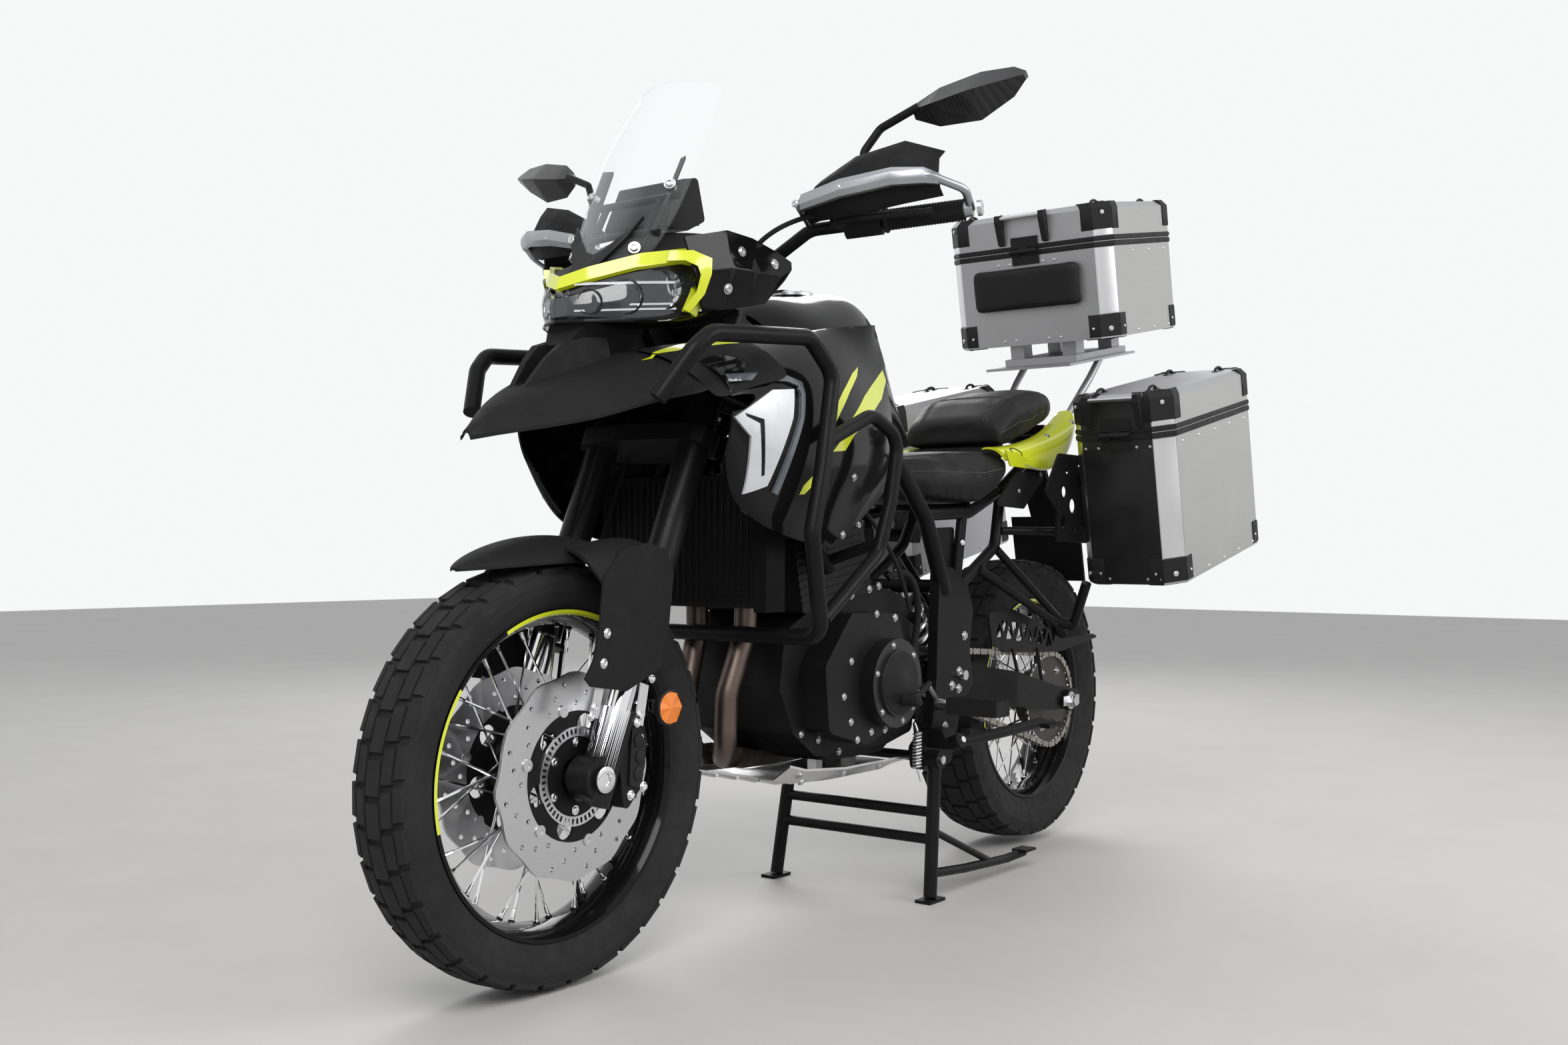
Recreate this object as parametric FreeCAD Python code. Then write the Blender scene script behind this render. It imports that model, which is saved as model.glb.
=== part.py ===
import os
from math import atan2, cos, hypot, pi, radians, sin, sqrt, tan

import FreeCAD, Part
from FreeCAD import Vector

# Adventure motorcycle on its centre stand, with three aluminium cases and crash bars.
# Millimetres. +X is forward, +Y is the rider's left, +Z is up, and the floor is at zero.

# Wheels
front_axle_x = 830
rear_axle_x = -665
front_tyre_r = 328
front_tyre_w = 112
front_section = 74
front_rim_r = front_tyre_r - front_section
front_rim_w = 88
rear_tyre_r = 321
rear_tyre_w = 152
rear_section = 92
rear_rim_r = rear_tyre_r - rear_section
rear_rim_w = 120
rear_lift = 12
front_axle_z = front_tyre_r
rear_axle_z = rear_tyre_r + rear_lift
spoke_count = 36
spoke_r = 2.2
hub_flange_r = 50
front_hub_half = 40
rear_hub_half = 48

# Discs and mudguard
disc_y = 64
disc_t = 5
front_disc_r = 160
front_disc_in = 100
bobbin_count = 6
fender_r = front_tyre_r + 40
wing_y = 131

# Clearances
gap = 0.3
run_gap = 0.5

# Front end
rake = 23
fork_y = 103
leg_offset = 26
axle_offset = 39
fork_r = 27
slider_r = 21.5
lower_clamp_s = 562
upper_clamp_s = 772
clamp_t = 30
stem_r = 16
head_r = 30
axle_r = 12
axle_bore_r = 8.5
foot_r = 33
riser_h = 84

# Tubes of the frame and the bars on it
rail_r = 16
brace_r = 11
crash_r = 14
bar_r = 11
grip_end = 262
plate_in = 128
tank_floor = 892
seat_floor = 776
pan_z = 286
plate_out = 150
pivot_bolt_r = 10

# Rear end
pivot_x = -187
pivot_z = 421
pivot_tube_r = 28
arm_out = 150
chain_y = 98
chain_half = 10
guard_y = 111
front_sprocket_x = -78
front_sprocket_z = 440
front_sprocket_r = 36
rear_sprocket_r = 104

# Stands
stand_x = -50
stand_z = 267
stand_y = 172
stand_foot_x = -13
stand_foot_y = 186
stand_tube_r = 13
side_pivot = (-83, 203, 300)
side_axis = (0.108, 0.916, 0.386)
side_half = 11
side_pin_r = 6

# Cases, measured along their own tilted floor
case_front = -532
case_seam_z = 924
case_tilt = 11.5
case_in = 227
case_out = 449
case_len = 508
case_deep = 330
case_lid_h = 84
case_corner = 38
case_wall = 3
top_front = -740
top_seam_z = 1390.8
top_tilt = 10.8
top_half = 213
top_len = 390
top_deep = 225
top_lid_h = 88
top_corner = 35
rack_drop = 50
hinge_out = 9
hinge_low = 2
hinge_half = 35
hinge_pin_r = 2.5
knuckle_r = 6
leaf_t = 4
lid_bevel = 12
handle_half = 58
beak_t = 5


def vec(x, y, z):
    return Vector(x, y, z)


def fuse(shapes):
    """One solid from pieces that meet."""
    return shapes[0].multiFuse(shapes[1:]).removeSplitter() if len(shapes) > 1 else shapes[0]


def mirrored(shape):
    """The same piece on the other side of the centre plane."""
    return shape.mirror(vec(0, 0, 0), vec(0, 1, 0))


def both(shape):
    """A piece and its mirror image, as two solids."""
    return Part.makeCompound([shape, mirrored(shape)])


def path(points, bend):
    """Straight runs joined by tangent arcs. No arc takes over 0.45 of its shorter run."""
    points = [vec(*p) for p in points]
    edges = []
    start = points[0]
    for before, corner, after in zip(points, points[1:], points[2:]):
        short = min((before - corner).Length, (after - corner).Length)
        a = (before - corner).normalize()
        b = (after - corner).normalize()
        half = a.getAngle(b) / 2
        cut = min(bend / tan(half), 0.45 * short)
        radius = cut * tan(half)
        middle = corner + (a + b).normalize() * (radius / sin(half) - radius)
        first = corner + a * cut
        last = corner + b * cut
        edges.append(Part.LineSegment(start, first).toShape())
        edges.append(Part.Arc(first, middle, last).toShape())
        start = last
    edges.append(Part.LineSegment(start, points[-1]).toShape())
    return Part.Wire(edges)


def tube(points, radius, bend=60):
    """A round bar bent along the points."""
    start = vec(*points[0])
    ring = Part.Wire(Part.makeCircle(radius, start, vec(*points[1]) - start))
    return path(points, bend).makePipeShell([ring], True, False)


def rod(start, end, radius):
    start = vec(*start)
    run = vec(*end) - start
    return Part.makeCylinder(radius, run.Length, start, run)


def across(radius, y0, y1, x, z):
    """A cylinder along Y."""
    return rod((x, y0, z), (x, y1, z), radius)


def face_of(points, bend=0):
    """A flat face whose corners are rounded by the bend radius."""
    if not bend:
        return Part.Face(Part.makePolygon([vec(*p) for p in points] + [vec(*points[0])]))
    middle = tuple((a + b) / 2 for a, b in zip(points[0], points[-1]))
    return Part.Face(path([middle] + list(points) + [middle], bend))


def plate(outline, y0, y1, bend=0):
    """A side view outline of (x, z) corners, extruded from y0 to y1."""
    return face_of([(x, y0, z) for x, z in outline], bend).extrude(vec(0, y1 - y0, 0))


def box(x0, x1, y0, y1, z0, z1):
    return Part.makeBox(x1 - x0, y1 - y0, z1 - z0, vec(x0, y0, z0))


def loft(rows):
    """A solid through closed rows of 3-D points."""
    wires = [Part.makePolygon([vec(*p) for p in row] + [vec(*row[0])]) for row in rows]
    return Part.makeLoft(wires, True, True)


def quad(a, b, c, d):
    """A face ruled between the edges a to b and d to c."""
    return Part.makeRuledSurface(Part.LineSegment(a, b).toShape(), Part.LineSegment(d, c).toShape())


def skin(rows, inward):
    """A panel through rows of outer points, as thick as the inward vector."""
    outer = [[vec(*p) for p in row] for row in rows]
    inner = [[p + vec(*inward) for p in row] for row in outer]
    faces = []
    for grid in (outer, inner):
        for near, far in zip(grid, grid[1:]):
            for j in range(len(near) - 1):
                faces.append(quad(near[j], near[j + 1], far[j + 1], far[j]))
    edges = [(outer[0], inner[0]), (outer[-1], inner[-1])]
    edges += [([r[k] for r in outer], [r[k] for r in inner]) for k in (0, -1)]
    for a, b in edges:
        for j in range(len(a) - 1):
            faces.append(quad(a[j], a[j + 1], b[j + 1], b[j]))
    shell = Part.Shell(faces)
    shell.sewShape()
    solid = Part.makeSolid(shell)
    if solid.Volume < 0:
        solid.reverse()
    return solid


def panel(rows, inward):
    """A smooth panel through rows of outer points, as thick as the inward vector."""
    surface = Part.BSplineSurface()
    surface.interpolate([[vec(*p) for p in row] for row in rows])
    solid = surface.toShape().extrude(vec(*inward))
    if solid.Volume < 0:
        solid.reverse()
    return solid


def largest(shape):
    """The biggest solid that a cut leaves."""
    return max(shape.Solids, key=lambda piece: piece.Volume)


def turned(profile, x, z):
    """A (y, radius) outline revolved about the Y axis through x, z."""
    points = [vec(x, y, z + r) for y, r in profile]
    face = Part.Face(Part.makePolygon(points + [points[0]]))
    return face.revolve(vec(x, 0, z), vec(0, 1, 0), 360)


up = vec(-sin(radians(rake)), 0, cos(radians(rake)))


ahead = vec(cos(radians(rake)), 0, sin(radians(rake)))


foot = vec(front_axle_x, 0, front_axle_z) - ahead * axle_offset


def steer(s, n=0, y=0):
    """A point s up the steering axis, n ahead of it and y to the left."""
    return foot + up * s + ahead * n + vec(0, y, 0)


riser_s = upper_clamp_s + clamp_t + riser_h


bar_x = steer(riser_s + 10, 4).x


bar_z = steer(riser_s + 10, 4).z


def along(s0, s1, n, y, radius):
    """A cylinder parallel to the steering axis."""
    return Part.makeCylinder(radius, s1 - s0, steer(s0, n, y), up)


def clamp_plate(s0, thick, outline):
    """An outline of (n, y) corners, extruded along the steering axis."""
    return face_of([tuple(steer(s0, n, y)) for n, y in outline], 14).extrude(up * thick)


def clamp_block(y):
    """The block that grips the handlebar."""
    block = Part.makeBox(46, 34, 44, vec(-23, -17, -22))
    block.Placement = FreeCAD.Placement(vec(bar_x, y, bar_z), FreeCAD.Rotation(vec(0, 1, 0), -rake))
    return block


def tyre(x, z, outer, width, rim_r, rim_w, crown):
    """A carcass with a round crown; its bead sits on the rim's seat."""
    half = width / 2
    bead = rim_w / 2
    profile = [
        (-bead + 6, rim_r - 8), (-bead + 4, rim_r - 4), (-bead + 3.6, rim_r + 1), (-bead - 1, rim_r + 6),
        (-half, (outer + rim_r) / 2 + 4),
        (-half * 0.9, outer - crown * 0.75), (-half * 0.55, outer - crown * 0.22), (-half * 0.2, outer),
        (half * 0.2, outer), (half * 0.55, outer - crown * 0.22), (half * 0.9, outer - crown * 0.75),
        (half, (outer + rim_r) / 2 + 4), (bead + 1, rim_r + 6), (bead - 3.6, rim_r + 1), (bead - 4, rim_r - 4),
        (bead - 6, rim_r - 8),
    ]
    return turned(profile, x, z)


def spoked_rim(x, z, rim_r, rim_w, hub_half, core_r, bore_r):
    """Rim, hub and crossed spokes in one solid."""
    half = rim_w / 2
    well = rim_r - 24
    rim = turned(
        [(-half, rim_r), (-half, rim_r - 6), (-half + 10, rim_r - 14), (-14, well), (14, well),
         (half - 10, rim_r - 14), (half, rim_r - 6), (half, rim_r), (half - 3.6, rim_r), (half - 4, rim_r - 4),
         (half - 6, rim_r - 8), (13, well + 6), (-13, well + 6), (-half + 6, rim_r - 8), (-half + 4, rim_r - 4),
         (-half + 3.6, rim_r)], x, z)
    hub = turned(
        [(-hub_half, bore_r), (-hub_half, hub_flange_r), (-hub_half + 6, hub_flange_r + 4),
         (-hub_half + 12, core_r), (hub_half - 12, core_r), (hub_half - 6, hub_flange_r + 4),
         (hub_half, hub_flange_r), (hub_half, bore_r)], x, z)
    spokes = []
    for i in range(spoke_count):
        side = 1 if i % 2 else -1
        lean = 1 if (i // 2) % 2 else -1
        at_rim = 2 * pi * (i + 0.5) / spoke_count
        at_hub = at_rim + lean * 1.15
        root = hub_flange_r - 3
        start = vec(x + root * cos(at_hub), side * (hub_half - 6), z + root * sin(at_hub))
        end = vec(x + (well + 3) * cos(at_rim), side * 7, z + (well + 3) * sin(at_rim))
        ring = Part.makePolygon([
            vec(spoke_r * cos(radians(60 * k)), spoke_r * sin(radians(60 * k)), 0) for k in range(7)])
        spoke = Part.Face(ring).extrude(vec(0, 0, (end - start).Length))
        spoke.Placement = FreeCAD.Placement(start, FreeCAD.Rotation(vec(0, 0, 1), end - start))
        spokes.append(spoke)
    return fuse([rim, hub] + spokes)


def wave_disc(x, z, y0, thick, outer, inner, waves):
    """A brake disc with a petal edge."""
    rim = []
    for k in range(waves):
        for shift, depth in ((0, 0), (0.5, 5)):
            a = 2 * pi * (k + shift) / waves
            rim.append(vec(x + (outer - depth) * cos(a), y0, z + (outer - depth) * sin(a)))
    edge = Part.BSplineCurve()
    edge.interpolate(Points=rim, PeriodicFlag=True)
    disc = Part.Face(Part.Wire(edge.toShape())).extrude(vec(0, thick, 0))
    return disc.cut(across(inner, y0 - 1, y0 + thick + 1, x, z))


def front_disc():
    """The left petal disc with its bobbins and holes, and the spider that carries it."""
    x, z = front_axle_x, front_axle_z
    disc = wave_disc(x, z, disc_y, disc_t, front_disc_r, front_disc_in, 12)
    holes = []
    for k in range(36):
        a = 2 * pi * k / 36
        r = (112, 128, 143)[k % 3]
        holes.append(across(4, disc_y - 2, disc_y + disc_t + 2, x + r * cos(a), z + r * sin(a)))
    bobbins = []
    for k in range(bobbin_count):
        a = 2 * pi * (k + 0.25) / bobbin_count
        bobbins.append(across(9, disc_y - 1, disc_y + disc_t + 1.5, x + 104 * cos(a), z + 104 * sin(a)))
    disc = fuse([disc.cut(Part.makeCompound(holes))] + bobbins)
    hat = turned([(front_hub_half, 30), (front_hub_half, 58), (disc_y, 58), (disc_y, 30)], x, z)
    plate_ring = turned([(disc_y, 30), (disc_y, front_disc_in - gap), (disc_y + disc_t, front_disc_in - gap),
                         (disc_y + disc_t, 30)], x, z)
    windows = []
    for k in range(bobbin_count):
        a = 2 * pi * (k + 0.75) / bobbin_count
        windows.append(across(17, disc_y - 2, disc_y + disc_t + 2, x + 80 * cos(a), z + 80 * sin(a)))
    carrier = fuse([hat, plate_ring]).cut(Part.makeCompound(windows + bobbins))
    return disc, largest(carrier)


def front_wheel():
    tyre_solid = tyre(front_axle_x, front_axle_z, front_tyre_r, front_tyre_w, front_rim_r, front_rim_w, 26)
    bore_r = axle_r + run_gap
    rim = spoked_rim(front_axle_x, front_axle_z, front_rim_r, front_rim_w, front_hub_half, 26, bore_r)
    disc, carrier = front_disc()
    return {"front_tyre": tyre_solid, "front_rim": rim, "front_discs": both(disc),
            "front_carriers": both(carrier)}


def rear_wheel():
    tyre_solid = tyre(rear_axle_x, rear_axle_z, rear_tyre_r, rear_tyre_w, rear_rim_r, rear_rim_w, 34)
    rim = spoked_rim(rear_axle_x, rear_axle_z, rear_rim_r, rear_rim_w, rear_hub_half, 32, axle_r + run_gap)
    cush = turned(
        [(rear_hub_half, 25), (rear_hub_half, 62), (chain_y - 4, 62), (chain_y - 4, rear_sprocket_r - 7 - gap),
         (chain_y + 4, rear_sprocket_r - 7 - gap), (chain_y + 4, 25)], rear_axle_x, rear_axle_z)
    hat = turned([(-rear_hub_half, 25), (-rear_hub_half, 62), (-94, 62), (-94, 25)], rear_axle_x, rear_axle_z)
    disc = wave_disc(rear_axle_x, rear_axle_z, -99, 5, 130, 40, 10)
    return {"rear_tyre": tyre_solid, "rear_rim": rim, "rear_sprocket": cush, "rear_disc": fuse([hat, disc])}


def fork():
    """Upper tubes held by two clamps, chrome sliders and cast feet, with the axle through them."""
    tubes = []
    lowers = []
    for y in (fork_y, -fork_y):
        tubes.append(along(225, upper_clamp_s + clamp_t + 12, leg_offset, y, fork_r))
        slider = along(70, 225, leg_offset, y, slider_r)
        cast = along(-36, 110, leg_offset, y, 29)
        boss = across(foot_r, y - 22, y + 22, front_axle_x, front_axle_z)
        lowers.append(fuse([slider, cast, boss]).cut(across(axle_r, y - 40, y + 40, front_axle_x, front_axle_z)))
    pin = across(axle_r, -fork_y - 30, fork_y + 30, front_axle_x, front_axle_z)
    pin = pin.cut(across(axle_bore_r, -fork_y - 40, fork_y + 40, front_axle_x, front_axle_z))
    return {"fork_tubes": Part.makeCompound(tubes), "fork_lowers": Part.makeCompound(lowers), "front_axle": pin}


def triple_clamps():
    """Two clamps with the stem between them and the risers of the handlebar on top."""
    wide = fork_y + 36
    side = [(66, 40), (60, wide - 18), (44, wide), (8, wide), (-10, wide - 18), (-24, 40)]
    outline = [(n, -y) for n, y in reversed(side)] + side
    pieces = [clamp_plate(s, clamp_t, outline) for s in (lower_clamp_s, upper_clamp_s)]
    pieces.append(along(lower_clamp_s, upper_clamp_s + clamp_t + 8, 0, 0, stem_r))
    for y in (46, -46):
        pieces.append(along(upper_clamp_s + clamp_t - 2, riser_s - 2, 4, y, 18))
        pieces.append(clamp_block(y))
    body = fuse(pieces)
    for y in (fork_y, -fork_y):
        body = body.cut(along(lower_clamp_s - 5, upper_clamp_s + clamp_t + 30, leg_offset, y, fork_r))
    return {"triple_clamps": body.cut(across(bar_r + 3, -90, 90, bar_x, bar_z))}


def grip_frame():
    """Start and direction of the left grip's axis."""
    return vec(bar_x - 8, 225, bar_z + 72), vec(-0.334, 0.94, 0.069).normalize()


def handlebar():
    """A tapered bar: straight in its clamps, up and back to the grips."""
    a, d = grip_frame()
    left = tube([(bar_x, 0, bar_z), (bar_x, 95, bar_z), tuple(a), tuple(a + d * grip_end)], bar_r, 50)
    middle = across(bar_r + 3, -88, 88, bar_x, bar_z)
    return {"handlebar": fuse([left, mirrored(left), middle])}


def grips_and_controls():
    a, d = grip_frame()
    bore = Part.makeCylinder(bar_r, 400, a - d * 20, d)
    grip = Part.makeCylinder(17, grip_end - 132, a + d * 130, d).cut(bore)
    house = Part.makeCylinder(23, 62, a + d * 62, d)
    pod = box(-24, 22, -18, 14, 0, 50)
    pod.Placement = FreeCAD.Placement(a + d * 66, FreeCAD.Rotation(vec(0, 1, 0), d))
    lever = tube([tuple(a + d * 62 + vec(38, 0, -2)), tuple(a + d * 110 + vec(50, 0, -2)),
                  tuple(a + d * 232 + vec(42, 0, -6))], 6, 40)
    perch = rod(tuple(a + d * 66), tuple(a + d * 68 + vec(42, 0, -2)), 11)
    control = fuse([house, perch, lever]).cut(bore)
    return {"grips": both(grip), "bar_controls": both(control)}


def handguards():
    """A shield in front of each grip, on an aluminium rail from the bar's bend to its tip."""
    a, d = grip_frame()
    rows = []
    for t, fore, rise, tall in ((14, 34, 22, 30), (44, 58, 30, 46), (112, 74, 40, 66), (196, 76, 50, 70),
                                (252, 60, 46, 50)):
        p = a + d * t + vec(fore, 0, rise)
        rows.append([(p.x - 16, p.y, p.z + tall * 0.85), (p.x + 2, p.y, p.z + tall * 0.55), (p.x + 14, p.y + 6, p.z),
                     (p.x + 6, p.y + 4, p.z - tall * 0.4), (p.x - 8, p.y + 2, p.z - tall * 0.62)])
    guard = skin(rows, (-5, -1.5, 0))
    route = [a + d * t + vec(fore, 0, rise) for t, fore, rise in (
        (4, 8, 8), (30, 84, 24), (112, 101, 36), (200, 105, 42), (252, 90, 40), (286, 44, 22), (272, -2, 0))]
    boss = Part.makeCylinder(13, 14, a + d * grip_end, d)
    screw = rod(tuple(a + d * 112 + vec(100, 0, 36)), tuple(a + d * 112 + vec(82, 0, 36)), 5)
    rail = fuse([tube([tuple(p) for p in route], 7, 30), boss, screw])
    rail = rail.cut(Part.makeCylinder(bar_r, grip_end, a, d))
    rail = max(rail.cut(guard).Solids, key=lambda piece: piece.Volume)
    return {"handguards": both(guard), "handguard_rails": both(rail)}


def mirrors():
    a, d = grip_frame()
    base = a + d * 92 + vec(0, 0, 23.3)
    stem = tube([tuple(base), (base.x, base.y, 1336), (396, 336, 1374), (384, 402, 1402)], 7, 20)
    head = loft([
        [(376, 392, 1384), (386, 392, 1398), (376, 396, 1412), (366, 396, 1398)],
        [(360, 430, 1370), (394, 430, 1400), (362, 430, 1434), (346, 430, 1400)],
        [(346, 500, 1372), (388, 500, 1412), (350, 500, 1450), (332, 500, 1412)],
        [(340, 556, 1402), (366, 556, 1424), (342, 556, 1450), (330, 556, 1424)],
        [(346, 580, 1424), (354, 580, 1430), (346, 580, 1438), (338, 580, 1430)]])
    return {"mirrors": both(fuse([stem, head]))}


def front_fender():
    """A mudguard over the tyre whose sides run down outside the fork legs."""
    rows = []
    for x, half, drop in ((1014, 5, 2), (985, 36, 14), (930, 60, 30), (870, 68, 38), (800, 70, 38), (730, 66, 34),
                          (690, 60, 30)):
        z = front_axle_z + sqrt(fender_r ** 2 - (x - front_axle_x) ** 2)
        rows.append([(x, y * half, z - fall * drop) for y, fall in (
            (-1, 1), (-0.8, 0.45), (-0.4, 0.08), (0, 0), (0.4, 0.08), (0.8, 0.45), (1, 1))])
    arch = panel(rows, (0, 0, -4))
    shoulder = panel([
        [(846, 58, 676), (844, 100, 660), (838, 132, 626)],
        [(800, 60, 684), (800, 104, 686), (800, 132, 668)],
        [(745, 60, 684), (745, 104, 690), (745, 132, 678)],
        [(692, 56, 664), (692, 100, 672), (688, 132, 660)]], (0, -3, -4))
    wing = plate([(838, 632), (846, 560), (858, 510), (876, 482), (864, 470), (787, 458), (711, 488), (690, 560),
                  (680, 637), (700, 676), (743, 684), (800, 674)], wing_y, wing_y + 4)
    leg = along(100, 640, leg_offset, fork_y, fork_r + gap)
    seat = plate([(760, 560), (720, 560), (720, 500), (760, 500)], fork_y, wing_y + 1)
    webs = [rod((x, 58, z - 8), (x - 2, wing_y + 1, z), 5) for x, z in ((800, 650), (730, 655))]
    half = fuse([wing, shoulder] + webs).cut(leg)
    half = largest(fuse([largest(half), largest(seat.cut(leg))]))
    pocket = [across(9, wing_y + 2, wing_y + 6, x, z) for x, z in ((829, 548), (836, 503))]
    half = half.cut(Part.makeCompound(pocket))
    return {"front_fender": fuse([arch, half, mirrored(half)])}


def calipers():
    body = plate([(752, 262), (712, 300), (700, 372), (716, 430), (744, 436), (752, 380), (762, 330)], 54, 98, 10)
    slot = across(front_disc_r + 5, disc_y - 4, disc_y + disc_t + 5, front_axle_x, front_axle_z)
    lug = plate([(744, 300), (744, 420), (776, 410), (812, 372), (816, 330), (790, 310)], 74, 86)
    hug = along(-60, 240, leg_offset, fork_y, 29 + gap)
    caliper = fuse([body, lug]).cut(slot).cut(hug)
    return {"front_calipers": both(largest(caliper))}


def down_tube():
    return tube([tuple(steer(655, -20, 16)), tuple(steer(630, -88, 50)), (474, 88, 790), (345, 152, 700),
                 (285, 158, 640)], rail_r - 2, 40)


def frame_tie():
    """The cross tube that holds the top of the shock."""
    return across(14, -130, 130, -160, 600)


def slanted(start, end, radius):
    """A cylinder on the side stand's slanted axis, measured from the middle of its pin."""
    axis = vec(*side_axis)
    axis.normalize()
    return Part.makeCylinder(radius, end - start, vec(*side_pivot) + axis * start, axis)


def main_frame():
    """Head tube, rails, down tubes and pivot plates, welded together."""
    head = along(lower_clamp_s + clamp_t + gap, upper_clamp_s - gap, 0, 0, head_r)
    rail = tube([tuple(steer(700, -20, 20)), (424, 92, 905), (300, 148, 868), (66, 150, 850), (-48, 150, 738),
                 (-130, 143, 590)], rail_r, 70)
    brace = rod((318, 154, 668), (200, 149, 858), brace_r)
    side = plate([(-104, 640), (-150, 640), (-212, 604), (-236, 552), (-222, 470), (-236, 400), (-190, 362),
                  (-150, 250), (-92, 236), (-30, 248), (-22, 290), (-76, 330), (-92, 420), (-96, 520)],
                 plate_in, plate_out, 14)
    x, y, z = side_pivot
    lug = plate([(x + 18, z - 14), (x + 18, z + 24), (x - 18, z + 24), (x - 18, z - 14)], plate_in, y + 20)
    lug = lug.cut(slanted(-side_half - gap, 80, 70))
    half = fuse([rail, down_tube(), brace, side])
    ties = [frame_tie(), across(10, -130, 130, -112, 260), across(10, -150, 150, 220, tank_floor - 10 - gap)]
    whole = fuse([head, half, mirrored(half), lug] + ties)
    whole = whole.cut(across(pivot_bolt_r, -200, 200, pivot_x, pivot_z))
    whole = whole.cut(along(lower_clamp_s, upper_clamp_s, 0, 0, stem_r + gap))
    return {"main_frame": whole}


def seat_rail():
    return tube([(-60, 116, 742), (-270, 118, 752), (-420, 104, 800), (-560, 92, 868), (-700, 70, 930),
                 (-738, 58, 944)], brace_r + 1, 60)


def rear_stay():
    return tube([(-212, 116, 588), (-384, 117, 682), (-440, 100, 806)], brace_r + 1, 50)


def rear_upright():
    return rod((-246, 117, 745), (-222, 116, 604), brace_r)


def subframe():
    """Tubes that carry the seats, the tail and the rack."""
    half = fuse([seat_rail(), rear_upright(), rear_stay()])
    ties = [across(9, -110, 110, -286, seat_floor - 9 - gap), across(9, -66, 66, -724, 939)]
    peg = rod((-600, 88, 884), (-600, 125, 944), 6).cut(cowl_side())
    peg = largest(peg)
    return {"subframe": fuse([half, mirrored(half), peg, mirrored(peg)] + ties)}


def arm_tie():
    """The bridge between the arms, which carries the foot of the shock."""
    return loft([[(-270, y, 366), (-310, y, 362), (-310, y, 420), (-270, y, 424)] for y in (-96, 96)])


def arm_section(x, y0, y1, z0, z1):
    return [(x, y0, z0), (x, y1, z0), (x, y1, z1), (x, y0, z1)]


def arm_loft():
    """The left box arm, from the pivot out past the chain to its axle plate."""
    return loft([
        arm_section(pivot_x + 34, 84, 108, pivot_z - 30, pivot_z + 28),
        arm_section(pivot_x - 60, 84, 112, pivot_z - 44, pivot_z + 26),
        arm_section(-340, 92, 128, 352, 426), arm_section(-420, 120, arm_out, 338, 414),
        arm_section(-600, 120, arm_out, 316, 372),
        arm_section(rear_axle_x - 60, 124, arm_out - 4, rear_axle_z - 20, rear_axle_z + 20)])


def swingarm():
    """Two box arms from the pivot tube to the axle plates."""
    arm = arm_loft()
    core = across(pivot_tube_r, -112, 112, pivot_x, pivot_z)
    end = across(24, arm_out, arm_out + 8, rear_axle_x, rear_axle_z)
    half = fuse([arm, end])
    bore = across(axle_r, -300, 300, rear_axle_x, rear_axle_z)
    whole = fuse([half, mirrored(half), core, arm_tie()]).cut(bore)
    return {"swingarm": whole.cut(across(pivot_bolt_r, -200, 200, pivot_x, pivot_z))}


def chain_guard():
    """A perforated plate above the chain, on posts from the left arm."""
    sheet = plate([(-362, 540), (-470, 545), (-609, 508), (-700, 470), (-870, 474), (-899, 466), (-700, 440),
                   (-560, 446), (-441, 452), (-380, 470)], guard_y, guard_y + 3.5, 8)
    holes = []
    for k in range(6):
        x = -410 - 46 * k
        z = 506 - 6 * k
        holes.append(plate([(x + 16, z - 20), (x - 16, z - 20), (x, z + 16)], guard_y - 2, guard_y + 6, 4))
        holes.append(plate([(x - 7, z + 18), (x - 39, z + 14), (x - 23, z - 16)], guard_y - 2, guard_y + 6, 4))
    posts = [rod((x, guard_y + 3, z), (x, arm_out - 22, z - drop), 4)
             for x, z, drop in ((-470, 458, 56), (-585, 454, 88))]
    return {"chain_guard": fuse([sheet.cut(Part.makeCompound(holes))] + posts).cut(arm_loft())}


def engine_block():
    """Crankcase, two cylinders leaning forward and the head, as one block."""
    case = plate([(330, 345), (372, 430), (356, 530), (250, 580), (60, 606), (-62, 572), (-74, 420), (-60, 318),
                  (30, 300), (262, 300)], -112, 112, 16)
    pan = plate([(240, 302), (210, pan_z), (40, pan_z), (10, 302)], -12, 104)
    barrel = plate([(102, 596), (322, 560), (352, 690), (136, 730)], -126, 126, 8)
    head = plate([(126, 728), (356, 690), (366, 766), (330, 812), (170, 828), (136, 800)], -122, 122, 14)
    left = fuse([
        plate([(300, 350), (312, 470), (230, 560), (80, 556), (40, 470), (60, 352), (180, 318)], 112, 168, 22),
        across(82, 168, 196, 120, 428), across(62, 196, 203, 120, 428)])
    right = fuse([
        plate([(300, 350), (312, 470), (230, 560), (20, 556), (-20, 470), (0, 352), (180, 318)], -165, -112, 22),
        across(96, -192, -165, 110, 440)])
    sprocket = plate([(20, 560), (-60, 520), (-64, 400), (-10, 350), (36, 380), (34, 470)], 112.5, 126, 14)
    mounts = [across(12, -plate_in, plate_in, -60, 352), across(12, -plate_in, plate_in, -56, 540)]
    pocket = across(front_sprocket_r + 14, 84, 113, front_sprocket_x, front_sprocket_z)
    block = fuse([case, pan, barrel, head, left, right] + mounts).cut(pocket)
    wheel = across(front_sprocket_r - 7, 80, chain_y + 4, front_sprocket_x, front_sprocket_z)
    return fuse([block, sprocket.cut(pocket), wheel])


def engine():
    return {"engine": engine_block()}


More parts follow.
